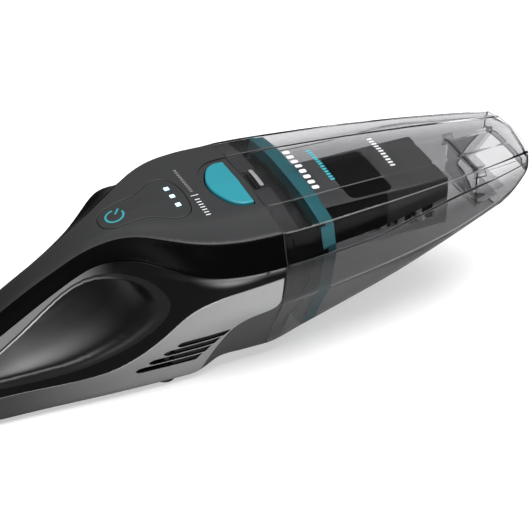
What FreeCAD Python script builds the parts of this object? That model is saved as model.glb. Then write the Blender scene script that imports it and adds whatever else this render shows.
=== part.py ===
"""Handheld wet-and-dry vacuum cleaner with a closed loop handle, as a parametric FreeCAD document.

The nozzle points along +X, +Z is up and +Y is the cleaner's left.  The origin is under the middle of the
overall length, on the plane that the cleaner stands on.  Shapes along the length are given by rails: each
rail is a width or a height against the distance from the seam between the motor housing and the dust
container, negative towards the handle.  All sizes are in millimetres.
"""

import FreeCAD, Part
import math
import os
import Sketcher

Vec = FreeCAD.Vector
Rot = FreeCAD.Rotation

# ---------------------------------------------------------------------------------------------------------
# Driving dimensions, one spreadsheet cell each
# ---------------------------------------------------------------------------------------------------------

DIMENSIONS = {
    "body_length": 229.0,        # seam to the back of the handle
    "container_length": 189.0,   # seam to the front of the nozzle
    "seam_x": 20.0,              # puts the origin under the middle of the length
    "seam_height": 120.0,        # top of the housing above the table, at the seam
    "shell_wall": 2.4,
    "container_wall": 2.0,
    "seam_gap": 0.4,
    "motor_axis_height": 60.0,
    "bulkhead_back": 10.0,       # behind the seam
    "bulkhead_wall": 3.0,
    "inlet_radius": 27.0,
    "grille_radius": 32.0,
    "grille_wall": 1.6,
    "fan_radius": 33.0,
    "fan_length": 14.0,
    "fan_cover_radius": 38.0,
    "fan_cover_length": 20.0,
    "fan_cover_wall": 1.8,
    "diffuser_wall": 2.0,
    "motor_radius": 18.0,
    "motor_length": 40.0,
    "motor_wall": 1.2,
    "end_cap_length": 5.0,
    "shaft_radius": 1.6,
    "armature_radius": 10.5,
    "armature_length": 22.0,
    "commutator_radius": 4.0,
    "commutator_length": 7.0,
    "mount_ring_width": 6.0,
    "mount_ring_wall": 3.0,
    "cell_radius": 9.15,
    "cell_length": 65.0,
    "cell_pitch": 19.4,
    "cell_front": 98.0,         # behind the seam
    "cell_height": 13.0,
    "board_length": 46.0,
    "board_width": 22.0,
    "board_wall": 1.6,
    "board_front": 44.0,
    "board_height": 106.0,
    "switch_size": 6.0,
    "switch_height": 3.2,
    "plunger_radius": 1.6,
    "power_spot": 88.0,          # power symbol, behind the seam
    "led_line": 50.0,            # row of charge lights, behind the seam
    "led_pitch": 9.6,
    "led_size": 3.0,
    "key_gap": 0.4,
    "button_front": 5.5,
    "button_back": 26.0,
    "button_half": 24.0,
    "button_round": 27.6,
    "button_stand": 1.4,
    "button_depth": 7.0,
    "button_gap": 0.4,
    "latch_pivot_back": 33.0,
    "latch_pivot_height": 106.5,
    "latch_pin_radius": 1.5,
    "latch_half": 7.0,
    "latch_wall": 3.0,
    "ring_back": 26.0,           # filter flange, in front of the seam
    "ring_wall": 5.0,
    "filter_front": 129.0,
    "filter_half": 27.0,
    "filter_top": 102.3,
    "filter_bottom": 70.0,
    "filter_wall": 1.8,
    "flap_pivot": 141.0,
    "flap_wall": 1.2,
    "screw_radius": 1.5,
    "screw_head_radius": 2.8,
    "jack_radius": 3.6,
    "jack_bore": 2.8,
    "foot_radius": 7.0,
}

doc = FreeCAD.newDocument("handheld_vacuum")
dims = doc.addObject("Spreadsheet::Sheet", "Dims")
for row, (alias, size) in enumerate(DIMENSIONS.items(), start=1):
    dims.set(f"A{row}", alias)
    dims.set(f"B{row}", str(size))
    dims.setAlias(f"B{row}", alias)
doc.recompute()

nodes = {}


def dim(expression):
    """The value of an expression of sheet aliases, such as "Dims.seam_x - Dims.board_front"."""
    return float(dims.evalExpression(expression))


def keep(label, item):
    """Registers a document object as the sub-part of that name."""
    item.Label = label
    nodes[label] = item
    return item


def keep_shape(label, shape):
    """A sub-part whose free-form shape comes from Part's own functions."""
    item = doc.addObject("Part::Feature", label)
    item.Shape = shape
    return keep(label, item)


# ---------------------------------------------------------------------------------------------------------
# Helpers for primitives and PartDesign bodies bound to the sheet
# ---------------------------------------------------------------------------------------------------------


def bind(item, **expressions):
    """Binds properties of an object to sheet expressions."""
    for name, expression in expressions.items():
        item.setExpression(name, expression)
    return item


def place(item, x="0", y="0", z="0", axis=None, degrees=0.0):
    """Places an object at sheet expressions, turned about an axis."""
    if axis:
        item.Placement = FreeCAD.Placement(Vec(), Rot(Vec(*axis), degrees))
    for letter, expression in (("x", x), ("y", y), ("z", z)):
        item.setExpression(f".Placement.Base.{letter}", expression)
    return item


def box(name, length, width, height, x, y, z):
    """A Part::Box, with every size and place an expression."""
    item = bind(doc.addObject("Part::Box", name), Length=length, Width=width, Height=height)
    return place(item, x, y, z)


def rod(name, radius, length, x, y, z, axis=(0, 1, 0), degrees=90.0):
    """A Part::Cylinder along +X unless another turn is given."""
    item = bind(doc.addObject("Part::Cylinder", name), Radius=radius, Height=length)
    return place(item, x, y, z, axis, degrees)


def cut(name, base, *tools):
    """Part::Cut of one object by one or more others."""
    item = doc.addObject("Part::Cut", name)
    item.Base = base
    item.Tool = tools[0] if len(tools) == 1 else join(name + "_tools", *tools)
    return item


def join(name, *items):
    """Part::MultiFuse of several objects."""
    item = doc.addObject("Part::MultiFuse", name)
    item.Shapes = list(items)
    return item


def group(name, *items):
    """Part::Compound of separate solids that share one node."""
    item = doc.addObject("Part::Compound", name)
    item.Links = list(items)
    return item


def closed_sketch(body, role, corners, name="outline"):
    """A sketch on an origin plane of its body: a closed polygon whose corners are bound to the sheet."""
    sketch = body.newObject("Sketcher::SketchObject", body.Name + "_" + name)
    plane = [item for item in body.Origin.OriginFeatures if item.Role == role][0]
    sketch.AttachmentSupport = [(plane, "")]
    sketch.MapMode = "FlatFace"
    points = [Vec(dim(across), dim(up), 0) for across, up in corners]
    count = len(corners)
    for i in range(count):
        sketch.addGeometry(Part.LineSegment(points[i], points[(i + 1) % count]), False)
    for i in range(count):
        sketch.addConstraint(Sketcher.Constraint("Coincident", i, 2, (i + 1) % count, 1))
    for i, corner in enumerate(corners):
        for kind, expression, axis in (("DistanceX", corner[0], -2), ("DistanceY", corner[1], -1)):
            if expression == "0":
                sketch.addConstraint(Sketcher.Constraint("PointOnObject", i, 1, axis))
            else:
                rule = Sketcher.Constraint(kind, -1, 1, i, 1, dim(expression))
                sketch.setExpression(f"Constraints[{sketch.addConstraint(rule)}]", expression)
    return sketch


def turned(name, profile, x, y, z, axis=(0, 1, 0), degrees=90.0):
    """A PartDesign body turned about its own axis, which lies along +X: corners are (radius, distance)."""
    body = doc.addObject("PartDesign::Body", name)
    sketch = closed_sketch(body, "XZ_Plane", profile)
    turn = body.newObject("PartDesign::Revolution", name + "_turn")
    turn.Profile = sketch
    turn.ReferenceAxis = (sketch, ["V_Axis"])
    turn.Angle = 360
    return place(body, x, y, z, axis, degrees)


def padded(name, role, profile, length, x, y, z, reverse=False):
    """A PartDesign body padded from a polygon sketch on one of its origin planes."""
    body = doc.addObject("PartDesign::Body", name)
    sketch = closed_sketch(body, role, profile)
    pad = body.newObject("PartDesign::Pad", name + "_pad")
    pad.Profile = sketch
    pad.setExpression("Length", length)
    pad.Reversed = reverse
    return place(body, x, y, z)


# ---------------------------------------------------------------------------------------------------------
# Rails and sections of the outer form
# ---------------------------------------------------------------------------------------------------------

SEAM_X = dim("Dims.seam_x")
WALL = dim("Dims.shell_wall")
BODY_END = -dim("Dims.body_length")
NOSE = dim("Dims.container_length")

# Top centre line, and the two edges of the flat on top.
CROWN_Z = [(-229, 27), (-220, 37), (-205, 50.5), (-180, 67), (-150, 85.5), (-120, 103), (-100, 112.5),
           (-75, 118.5), (-50, 120.8), (-20, 121), (0, 120.2), (60, 118.5), (120, 116), (189, 112.5)]
RIDGE_Y = [(-229, 8), (-220, 13), (-205, 15.5), (-150, 14.5), (-115, 16), (-100, 18.5), (-90, 23), (-80, 29),
           (-70, 37), (-60, 44.5), (-50, 50.5), (-35, 55), (-15, 57.2), (0, 57), (60, 51.4), (120, 42.4),
           (160, 34.4), (189, 27.4)]
RIDGE_Z = [(-229, 25), (-220, 34), (-205, 47.5), (-180, 64.5), (-150, 83), (-120, 100.5), (-100, 110.5),
           (-75, 116.6), (-50, 116.2), (-20, 114.7), (0, 114.3), (60, 113.3), (120, 111.6), (189, 109)]
# Widest line, under the side band.
BELT_Y = [(-229, 10), (-220, 17), (-205, 19), (-150, 18), (-115, 20), (-100, 26), (-85, 36), (-68, 47),
          (-52, 57), (-38, 61), (-15, 63.4), (0, 63.6), (60, 57.5), (120, 47.4), (160, 37.5), (189, 28.2)]
BELT_Z = [(-229, 22), (-220, 29), (-205, 41), (-180, 57.5), (-150, 76), (-120, 93.5), (-100, 103), (-85, 101.5),
          (-68, 99), (-52, 96), (-38, 94), (0, 93.6), (60, 94.8), (120, 99), (160, 101), (189, 101)]
# Lower side crease.
SIDE_Y = [(-229, 12), (-220, 22), (-205, 28), (-180, 31.5), (-150, 34), (-115, 39), (-90, 45), (-70, 48.5),
          (-40, 53), (0, 56), (60, 50.5), (120, 42.4), (160, 33.5), (189, 28)]
SIDE_Z = [(-229, 17), (-220, 17), (-205, 18), (-180, 20), (-150, 22), (-115, 28), (-90, 37), (-70, 47),
          (-40, 58), (0, 60), (60, 63), (120, 69), (160, 76), (189, 86)]
# Edge of the underside and its centre line.
KEEL_Y = [(-229, 9), (-220, 17), (-205, 24), (-180, 28), (-150, 30), (-50, 32), (0, 30), (60, 30), (120, 29),
          (189, 27)]
KEEL_Z = [(-229, 12.5), (-220, 4.5), (-205, 2), (-195, 1.8), (-48, 1.8), (-30, 11.5), (0, 11), (60, 30), (96, 42),
          (132, 57), (165, 70.6), (189, 81.5)]
FLOOR_Z = [(-229, 11), (-220, 3), (-205, 1.2), (-50, 1.2), (-30, 7.5), (0, 7), (60, 26), (96, 38), (132, 53),
           (165, 66.5), (189, 77.5)]

BODY_STATIONS = [0, -12, -24, -34, -42, -50, -60, -70, -80, -90, -100, -115, -135, -160, -185, -205, -220,
                 -229]
CONTAINER_STATIONS = [0, 20, 45, 75, 105, 135, 165, 189]

# Finger opening of the loop handle, from the side, clockwise from the back.
FINGER_OPENING = [(-205, 30), (-188, 42.5), (-170, 54.5), (-148, 70), (-126, 85), (-108, 92), (-94, 91.5),
                  (-86, 83), (-85.5, 71), (-93, 59.5), (-107, 47), (-125, 36.5), (-147, 30), (-175, 26.5),
                  (-199, 25.5)]
FINGER_FLARE = 9.0     # how much larger the opening is at the outer sides than at the parting plane
FLARE_REACH = 45.0     # distance from the parting plane at which the flare is measured


def rail(points, x):
    """Value of a rail at x: a cubic through its points that doesn't overshoot them."""
    if x <= points[0][0]:
        return points[0][1]
    if x >= points[-1][0]:
        return points[-1][1]
    slopes = [(b[1] - a[1]) / (b[0] - a[0]) for a, b in zip(points, points[1:])]

    def tangent(i):
        if i == 0:
            return slopes[0]
        if i == len(points) - 1:
            return slopes[-1]
        before, after = slopes[i - 1], slopes[i]
        return 0.0 if before * after <= 0 else 2 * before * after / (before + after)

    i = max(k for k in range(len(points) - 1) if points[k][0] <= x)
    step = points[i + 1][0] - points[i][0]
    t = (x - points[i][0]) / step
    return ((2 * t**3 - 3 * t**2 + 1) * points[i][1] + (t**3 - 2 * t**2 + t) * step * tangent(i)
            + (3 * t**2 - 2 * t**3) * points[i + 1][1] + (t**3 - t**2) * step * tangent(i + 1))


def half_section(x):
    """Right-hand half of the outer section at x, from the top centre to the bottom centre."""
    ridge_y = rail(RIDGE_Y, x)
    crown_z = rail(CROWN_Z, x)
    ridge_z = rail(RIDGE_Z, x)
    crease_share = 0.55
    crease_drop = 0.2
    return [(0.0, crown_z),
            (crease_share * ridge_y, crown_z + crease_drop * (ridge_z - crown_z)),
            (ridge_y, ridge_z),
            (rail(BELT_Y, x), rail(BELT_Z, x)),
            (rail(SIDE_Y, x), rail(SIDE_Z, x)),
            (rail(KEEL_Y, x), rail(KEEL_Z, x)),
            (0.0, rail(FLOOR_Z, x))]


def inset(half, distance):
    """Moves every side of a convex half section inwards by a distance."""
    full = [(-half[1][0], half[1][1])] + half + [(-half[-2][0], half[-2][1])]
    moved = []
    for (ay, az), (by, bz) in zip(full, full[1:]):
        size = math.hypot(by - ay, bz - az)
        ny, nz = (bz - az) / size, -(by - ay) / size
        moved.append(((ay + ny * distance, az + nz * distance), (by + ny * distance, bz + nz * distance)))
    corners = []
    for (p, q), (r, s) in zip(moved, moved[1:]):
        d1 = (q[0] - p[0], q[1] - p[1])
        d2 = (s[0] - r[0], s[1] - r[1])
        cross = d1[0] * d2[1] - d1[1] * d2[0]
        t = ((r[0] - p[0]) * d2[1] - (r[1] - p[1]) * d2[0]) / cross
        corners.append((p[0] + t * d1[0], p[1] + t * d1[1]))
    corners[0] = (0.0, corners[0][1])
    corners[-1] = (0.0, corners[-1][1])
    return corners


def section_wire(x, half):
    """A closed wire at station x from a half section and its mirror image."""
    ring = half + [(-y, z) for y, z in reversed(half[1:-1])]
    points = [Vec(SEAM_X + x, -y, z) for y, z in ring]
    return Part.makePolygon(points + [points[0]])


def form(stations, distance=0.0):
    """Solid lofted through the sections at the stations, inset by a distance."""
    wires = [section_wire(x, inset(half_section(x), distance) if distance else half_section(x)) for x in stations]
    return Part.makeLoft(wires, True, False)


def zone(stations, low, high, half_width):
    """Solid between two heights and two widths that change along the length, to cut the shells apart."""
    wires = []
    for x in stations:
        y, bottom, top = half_width(x), low(x), high(x)
        corners = [Vec(SEAM_X + x, side * y, z) for side, z in ((-1, bottom), (1, bottom), (1, top), (-1, top))]
        wires.append(Part.makePolygon(corners + [corners[0]]))
    return Part.makeLoft(wires, True, False)


def side_prism(points, y_from, y_to):
    """Prism along Y from an outline seen from the side."""
    corners = [Vec(SEAM_X + x, y_from, z) for x, z in points]
    face = Part.Face(Part.makePolygon(corners + [corners[0]]))
    return face.extrude(Vec(0, y_to - y_from, 0))


def grown(points, distance):
    """An outline seen from the side, with every point moved outwards."""
    count = len(points)
    moved = []
    for i, (x, z) in enumerate(points):
        (ax, az), (bx, bz) = points[i - 1], points[(i + 1) % count]
        size = math.hypot(bx - ax, bz - az)
        moved.append((x - (bz - az) / size * distance, z + (bx - ax) / size * distance))
    return moved


def smooth_wire(points, y):
    """Closed smooth wire through the points of an outline, on the plane at y."""
    curve = Part.BSplineCurve()
    curve.interpolate(Points=[Vec(SEAM_X + x, y, z) for x, z in points], PeriodicFlag=True)
    return Part.Wire([curve.toShape()])


def finger_cut(extra):
    """The finger opening, flared towards both sides, larger all round by extra."""
    outer = grown(FINGER_OPENING, FINGER_FLARE + extra)
    middle = grown(FINGER_OPENING, extra)
    halves = [Part.makeLoft([smooth_wire(middle, 0), smooth_wire(outer, side * FLARE_REACH)], True, True)
              for side in (-1, 1)]
    return halves[0].fuse(halves[1])


# ---------------------------------------------------------------------------------------------------------
# Motor housing shells
# ---------------------------------------------------------------------------------------------------------

# Outline of the control key, from above: half width against distance from the seam.
KEY_OUTLINE = [(-100, 0), (-97.5, 6.5), (-91, 10.5), (-83, 11.2), (-75, 11.8), (-67, 15.5), (-59, 20.5),
               (-51.5, 22), (-45.5, 18.5), (-42.6, 10), (-42, 0)]
# Silver side panel, from the side, clockwise from the top front corner.
PANEL_OUTLINE = [(0, 86), (0, 61), (-4, 57), (-20, 51.5), (-29, 44), (-45, 12), (-50, -4), (-214, -4),
                 (-214, 17), (-195, 25), (-170, 27.5), (-141, 28), (-113, 31), (-95, 38.5), (-75, 53),
                 (-58, 66), (-45, 73.5), (-28, 78.5)]
PANEL_INNER = 12.0     # the panels start this far from the parting plane
SIDE_FAR = 80.0        # beyond the widest point
VENT_COUNT = 4
VENT_PITCH = 6.0
VENT_WIDTH = 3.2
VENT_TOP = 41.5
VENT_FRONT = -33.0
VENT_SLANT = 6.2       # each slot below starts this much further back
VENT_LENGTH = 33.0
VENT_GROWTH = 4.0      # and is this much longer


def vent_slots(side):
    """Exhaust slots of one side panel, one above the other."""
    slots = []
    for i in range(VENT_COUNT):
        z = VENT_TOP - i * VENT_PITCH
        front = VENT_FRONT - i * VENT_SLANT
        back = front - VENT_LENGTH - i * VENT_GROWTH
        corners = [(front + 3, z + VENT_WIDTH / 2), (front - 2, z - VENT_WIDTH / 2),
                   (back, z - VENT_WIDTH / 2), (back, z + VENT_WIDTH / 2)]
        slots.append(side_prism(corners, side * PANEL_INNER, side * SIDE_FAR))
    return slots


def plan_prism(points, z_from, z_to):
    """Prism along Z from a symmetric outline given by its half widths."""
    ring = points + [(x, -y) for x, y in reversed(points[1:-1])]
    curve = Part.BSplineCurve()
    curve.interpolate(Points=[Vec(SEAM_X + x, y, z_from) for x, y in ring], PeriodicFlag=True)
    return Part.Face(Part.Wire([curve.toShape()])).extrude(Vec(0, 0, z_to - z_from))


def shrunk(points, distance):
    """A symmetric plan outline moved inwards by about a distance."""
    low, high = points[0][0], points[-1][0]
    middle, half = (low + high) / 2, (high - low) / 2
    widest = max(y for _, y in points)
    return [(middle + (x - middle) * (1 - distance / half), y * (1 - distance / widest)) for x, y in points]


body_outer = form(BODY_STATIONS)
body_inner = form(BODY_STATIONS[:-1], WALL)
front_mouth = form([-4, 1], WALL)
shell = body_outer.cut(finger_cut(0.0)).cut(body_inner.cut(finger_cut(WALL))).cut(front_mouth)

COVER_EDGE = 0.7       # the cover stops this far inside the ridge
cover_zone = zone(BODY_STATIONS[:-2] + [-224], lambda x: rail(RIDGE_Z, x) - WALL - 0.6,
                  lambda x: rail(CROWN_Z, x) + 8, lambda x: rail(RIDGE_Y, x) - COVER_EDGE)
BAND_END = -224
band_zone = zone(BODY_STATIONS[:-2] + [BAND_END], lambda x: rail(BELT_Z, x) - 1.0, lambda x: rail(CROWN_Z, x) + 9,
                 lambda x: SIDE_FAR)

cover_plate = shell.common(cover_zone)
under_cover = shell.cut(cover_zone)
bands = under_cover.common(band_zone)
lower_shell = under_cover.cut(band_zone)

# Top cover, with the openings for the control key and the release button.
key_hole = plan_prism(KEY_OUTLINE, 90, 130)
key_blank = plan_prism(shrunk(KEY_OUTLINE, dim("Dims.key_gap")), 90, 130)


def half_moon(grow):
    """Plan outline of the release button as a prism: a disc cut off straight at the front and the sides."""
    centre = SEAM_X - dim("Dims.button_back") + dim("Dims.button_round")
    disc = Part.makeCylinder(dim("Dims.button_round") + grow, 40, Vec(centre, 0, 95))
    front = SEAM_X - dim("Dims.button_front") + grow
    half = dim("Dims.button_half") + grow
    block = Part.makeBox(60, 2 * half, 40, Vec(front - 60, -half, 95))
    return disc.common(block)


cover_solid = cover_plate.cut(key_hole).cut(half_moon(dim("Dims.button_gap")))
keep_shape("top_cover", cover_solid)
keep_shape("control_key", cover_plate.common(key_blank))

for side, name in ((1, "left"), (-1, "right")):
    half_space = side_prism([(-240, -10), (10, -10), (10, 140), (-240, 140)], 0, side * SIDE_FAR)
    keep_shape("side_band_" + name, bands.common(half_space))
    panel = lower_shell.common(side_prism(PANEL_OUTLINE, side * PANEL_INNER, side * SIDE_FAR))
    for slot in vent_slots(side):
        panel = panel.cut(slot)
    keep_shape("side_panel_" + name, panel)

panel_cut = side_prism(PANEL_OUTLINE, -SIDE_FAR, -PANEL_INNER).fuse(
    side_prism(PANEL_OUTLINE, PANEL_INNER, SIDE_FAR))
without_panels = lower_shell.cut(panel_cut)
COVER_OUTLINE = [(0, 61), (0, -5), (-44, -5), (-36, 30), (-29, 44), (-20, 51.5), (-4, 57)]
lower_zone = side_prism(COVER_OUTLINE, -SIDE_FAR, SIDE_FAR)
keep_shape("lower_cover", without_panels.common(lower_zone))
casing = without_panels.cut(lower_zone)
for side, name in ((1, "left"), (-1, "right")):
    half_space = side_prism([(-240, -10), (10, -10), (10, 140), (-240, 140)], 0, side * SIDE_FAR)
    keep_shape("housing_" + name, casing.common(half_space))

# ---------------------------------------------------------------------------------------------------------
# Dust container
# ---------------------------------------------------------------------------------------------------------


def slab(x_from, x_to, low=-10.0, high=135.0, half_width=SIDE_FAR):
    """Block between two stations, to take a slice of a form."""
    return Part.makeBox(x_to - x_from, 2 * half_width, high - low, Vec(SEAM_X + x_from, -half_width, low))


SKIN = dim("Dims.container_wall")
GAP = dim("Dims.seam_gap")
MOUTH_TOP = (189.0, 95.2)
MOUTH_LIP = (164.5, 67.0)


def beyond_mouth(back):
    """Everything in front of and below the mouth plane, moved back into the container by a distance."""
    (ax, az), (bx, bz) = MOUTH_TOP, MOUTH_LIP
    run, rise = ax - bx, az - bz
    size = math.hypot(run, rise)
    dx, dz = -rise / size * back, run / size * back
    far = 0.6
    top = (ax + far * run + dx, az + far * rise + dz)
    low = (bx - far * run + dx, bz - far * rise + dz)
    return side_prism([top, low, (low[0], 0), (top[0] + 60, 0), (top[0] + 60, top[1])], -SIDE_FAR, SIDE_FAR)


container_inner = form(CONTAINER_STATIONS[:-1] + [NOSE - SKIN], SKIN)
container_outer = form(CONTAINER_STATIONS).cut(slab(-2, GAP))
catch_pocket = Part.makeBox(4, 15, 1.0, Vec(SEAM_X + 3, -7.5, dim("Dims.seam_height") - SKIN - 0.4))
container = container_outer.cut(container_inner).cut(slab(-2, GAP)).cut(beyond_mouth(0)).cut(catch_pocket)
keep_shape("dust_container", container)

# Inlet duct: a frame behind the mouth, a short tube and two ears for the flap.
DUCT_BACK = 155.0
DUCT_HALF = 21.0
DUCT_WALL = 1.6
EAR_WALL = 1.6


def duct_profile(wall, back):
    """Tube outline from the side, its floor and roof moved in by a wall."""
    return [(back, 73 + wall), (back, 96.4 - wall), (192, 100.6 - wall), (192, 84 + wall)]


tube = side_prism(duct_profile(0, DUCT_BACK), -DUCT_HALF, DUCT_HALF)
bore = side_prism(duct_profile(DUCT_WALL, DUCT_BACK - 5), -DUCT_HALF + DUCT_WALL, DUCT_HALF - DUCT_WALL)
frame = container_inner.common(beyond_mouth(3.0)).cut(beyond_mouth(1.2)).common(slab(150, NOSE - SKIN))
duct = tube.common(container_inner).cut(beyond_mouth(1.2)).fuse(frame).cut(bore)
FLAP_Z = 98.6
FLAP_X = 153.0
for side in (-1, 1):
    ear = side_prism([(150.8, 94), (150.8, 101), (158, 101), (160, 94)], side * DUCT_HALF,
                     side * (DUCT_HALF + EAR_WALL))
    duct = duct.fuse(ear)
pin_bore = Part.makeCylinder(1.0, 60, Vec(SEAM_X + FLAP_X, -30, FLAP_Z), Vec(0, 1, 0))
keep_shape("inlet_duct", duct.cut(pin_bore).removeSplitter())

rod_y = dict(axis=(1, 0, 0), degrees=-90.0)
keep("flap_pin", rod("FlapPin", "1", "2 * 22.6", "Dims.seam_x + 153", "-22.6", "98.6", **rod_y))
flap_plate = box("FlapPlate", "Dims.flap_wall", "40", "28", "Dims.seam_x + 153.4", "-20", "70.6")
flap_barrel = rod("FlapBarrel", "2", "40", "Dims.seam_x + 153", "-20", "98.6", **rod_y)
flap_bore = rod("FlapBore", "1.06", "44", "Dims.seam_x + 153", "-22", "98.6", **rod_y)
keep("inlet_flap", cut("InletFlap", join("FlapWhole", flap_plate, flap_barrel), flap_bore))

# ---------------------------------------------------------------------------------------------------------
# Filter
# ---------------------------------------------------------------------------------------------------------

AXIS_Z = dim("Dims.motor_axis_height")


tunnels = {}


def tunnel(distance, ahead):
    """Form of the container or of the housing at an inset, made once for each."""
    key = (distance, ahead)
    if key not in tunnels:
        behind = BODY_STATIONS[:-1] if distance < 4 else BODY_STATIONS[:8]
        tunnels[key] = form(CONTAINER_STATIONS[:-1] if ahead else behind, distance)
    return tunnels[key]


def sleeve(x_from, x_to, outer, inner):
    """Ring that follows the outer form between two insets, or a plate when the inner inset is 0."""
    rings = []
    for low, high, ahead in ((x_from, min(x_to, 0), False), (max(x_from, 0), x_to, True)):
        if low < high:
            ring = tunnel(outer, ahead).common(slab(low, high))
            rings.append(ring.cut(tunnel(inner, ahead)) if inner else ring)
    return rings[0] if len(rings) == 1 else rings[0].fuse(rings[1]).removeSplitter()


def disc(x, length, radius):
    """Cylinder on the motor axis, starting at a station."""
    return Part.makeCylinder(radius, length, Vec(SEAM_X + x, 0, AXIS_Z), Vec(1, 0, 0))


RING_BACK = dim("Dims.ring_back")
RING_FRONT = RING_BACK + 9
BAND = 9.5
keep_shape("filter_ring", sleeve(RING_BACK, RING_FRONT, SKIN + 0.5, SKIN + BAND))
CUP_RADIUS = 37.0
CUP_WALL = 2.2
CUP_STEP = 12.0          # where the round cup widens to follow the container
CUP_INSET = 13.0
cup = disc(-6, RING_BACK + 6, CUP_RADIUS).cut(disc(-4, RING_BACK + 6, CUP_RADIUS - CUP_WALL))
cup = cup.fuse(sleeve(RING_BACK - 2, RING_BACK, SKIN + BAND, 0))
cup = cup.fuse(sleeve(CUP_STEP, RING_BACK - 1, CUP_INSET, CUP_INSET + CUP_WALL))
cup = cup.fuse(sleeve(CUP_STEP, CUP_STEP + 2, CUP_INSET, 0))
cup = cup.fuse(disc(-12.4, 7, 26.4))
cup = cup.cut(disc(-13, 20, 24)).cut(disc(-4, RING_BACK + 6, CUP_RADIUS - CUP_WALL))
keep_shape("filter_collar", cup.removeSplitter())
keep("filter_seal", turned("FilterSeal", [("27.4", "0"), ("31", "0"), ("31", "3.2"), ("27.4", "3.2")],
                           "Dims.seam_x - 9.2", "0", "Dims.motor_axis_height"))

BOX_BACK = RING_BACK + 2
BOX_FRONT = dim("Dims.filter_front")
BOX_HALF = dim("Dims.filter_half")
BOX_TOP = dim("Dims.filter_top")
BOX_LOW = dim("Dims.filter_bottom")
BOX_WALL = dim("Dims.filter_wall")


def block(x_from, x_to, half, low, high):
    """Block with rounded upright edges."""
    whole = Part.makeBox(x_to - x_from, 2 * half, high - low, Vec(SEAM_X + x_from, -half, low))
    return whole


cage = sleeve(BOX_BACK, BOX_BACK + 2.5, SKIN + BAND + 0.05, 0)
cage = cage.fuse(block(BOX_BACK, BOX_FRONT, BOX_HALF, BOX_LOW, BOX_TOP))
cage = cage.cut(block(BOX_BACK - 1, BOX_FRONT - BOX_WALL, BOX_HALF - BOX_WALL, BOX_LOW + BOX_WALL,
                      BOX_TOP - 2 * BOX_WALL))
cage = cage.cut(block(62, 91, BOX_HALF - 3, BOX_TOP - 1.4, BOX_TOP + 5))
WINDOWS = 7
for i in range(WINDOWS):
    start = BOX_BACK + 8 + i * 12.5
    cage = cage.cut(block(start, start + 8.5, BOX_HALF + 5, BOX_LOW + 6, BOX_TOP - 8))
    cage = cage.cut(block(start, start + 8.5, BOX_HALF - 6, BOX_LOW - 5, BOX_LOW + 5))
keep_shape("filter_cage", cage.removeSplitter())

PLEATS = 13
PAPER = 0.8
back, front = BOX_BACK + 2.6, BOX_FRONT - BOX_WALL - 0.4
pitch = (front - back) / (2 * PLEATS)
slope = 2 * (BOX_HALF - BOX_WALL) / pitch
LIFT = PAPER / 2 * math.hypot(1, slope)    # half the paper, measured across the cleaner
PLEAT_REACH = BOX_HALF - BOX_WALL - 0.6 - LIFT
folds = [(back + i * pitch, PLEAT_REACH if i % 2 else -PLEAT_REACH) for i in range(2 * PLEATS + 1)]
edge = [(x, y + LIFT) for x, y in folds] + [(x, y - LIFT) for x, y in reversed(folds)]
corners = [Vec(SEAM_X + x, y, BOX_LOW + BOX_WALL) for x, y in edge]
pleats = Part.Face(Part.makePolygon(corners + [corners[0]])).extrude(
    Vec(0, 0, BOX_TOP - BOX_LOW - 3 * BOX_WALL))
keep_shape("pleated_filter", pleats)

# ---------------------------------------------------------------------------------------------------------
# Bulkhead, fan and motor
# ---------------------------------------------------------------------------------------------------------

PLATE_BACK = -dim("Dims.bulkhead_back + Dims.bulkhead_wall")
PLATE_FRONT = -dim("Dims.bulkhead_back")
NECK_FRONT = 11.0
bulkhead = body_inner.common(slab(PLATE_BACK, PLATE_FRONT)).cut(disc(-14, 6, dim("Dims.inlet_radius")))
neck = sleeve(-10.5, NECK_FRONT, WALL + 0.9, WALL + 2.9)
bulkhead = bulkhead.fuse(neck)
bulkhead = bulkhead.cut(slab(-14, -9, 99.6, 130, 8.5)).cut(slab(1, 12, 108, 130, 9))
# room for the release button to go down
bulkhead = bulkhead.cut(half_moon(0.8).common(slab(-30, 0, 112.8, 140, 30)))
keep_shape("bulkhead", bulkhead.removeSplitter())
keep_shape("container_seal", sleeve(2.5, 6.5, SKIN + 0.45, WALL + 0.9).cut(slab(1, 12, 108, 130, 9)))

keep("fan_cover", turned("FanCover", [("Dims.fan_cover_radius - Dims.fan_cover_wall", "0"),
                                      ("Dims.fan_cover_radius", "0"),
                                      ("Dims.fan_cover_radius", "Dims.fan_cover_length"),
                                      ("Dims.fan_cover_radius - Dims.fan_cover_wall", "Dims.fan_cover_length")],
                         "Dims.seam_x - 33", "0", "Dims.motor_axis_height"))


def perforated(name, radius, hole, wall, window, count, x, start=0.0):
    """PartDesign disc on the motor axis with a ring of windows: window corners are (across, up)."""
    body = turned(name, [(hole, "0"), (radius, "0"), (radius, wall), (hole, wall)], x, "0",
                  "Dims.motor_axis_height")
    sketch = closed_sketch(body, "XY_Plane", window, "window")
    pocket = body.newObject("PartDesign::Pocket", name + "_window")
    pocket.Profile = sketch
    pocket.Type = 1
    pocket.Midplane = True
    ring = body.newObject("PartDesign::PolarPattern", name + "_ring")
    ring.Originals = [pocket]
    ring.Axis = (sketch, ["N_Axis"])
    ring.Angle = 360
    ring.Occurrences = count
    body.Tip = ring
    return body


keep("intake_grille", perforated("IntakeGrille", "Dims.grille_radius", "3", "Dims.grille_wall",
                                 [("7", "0"), ("25", "0"), ("25", "3.2"), ("7", "1.6")], 20,
                                 "Dims.seam_x - Dims.bulkhead_back - Dims.bulkhead_wall - Dims.grille_wall"))
keep("diffuser", perforated("Diffuser", "Dims.fan_cover_radius", "Dims.shaft_radius + 0.9",
                            "Dims.diffuser_wall", [("21.5", "0"), ("35", "0"), ("35", "9"), ("21.5", "5")], 10,
                            "Dims.seam_x - 35"))

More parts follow.
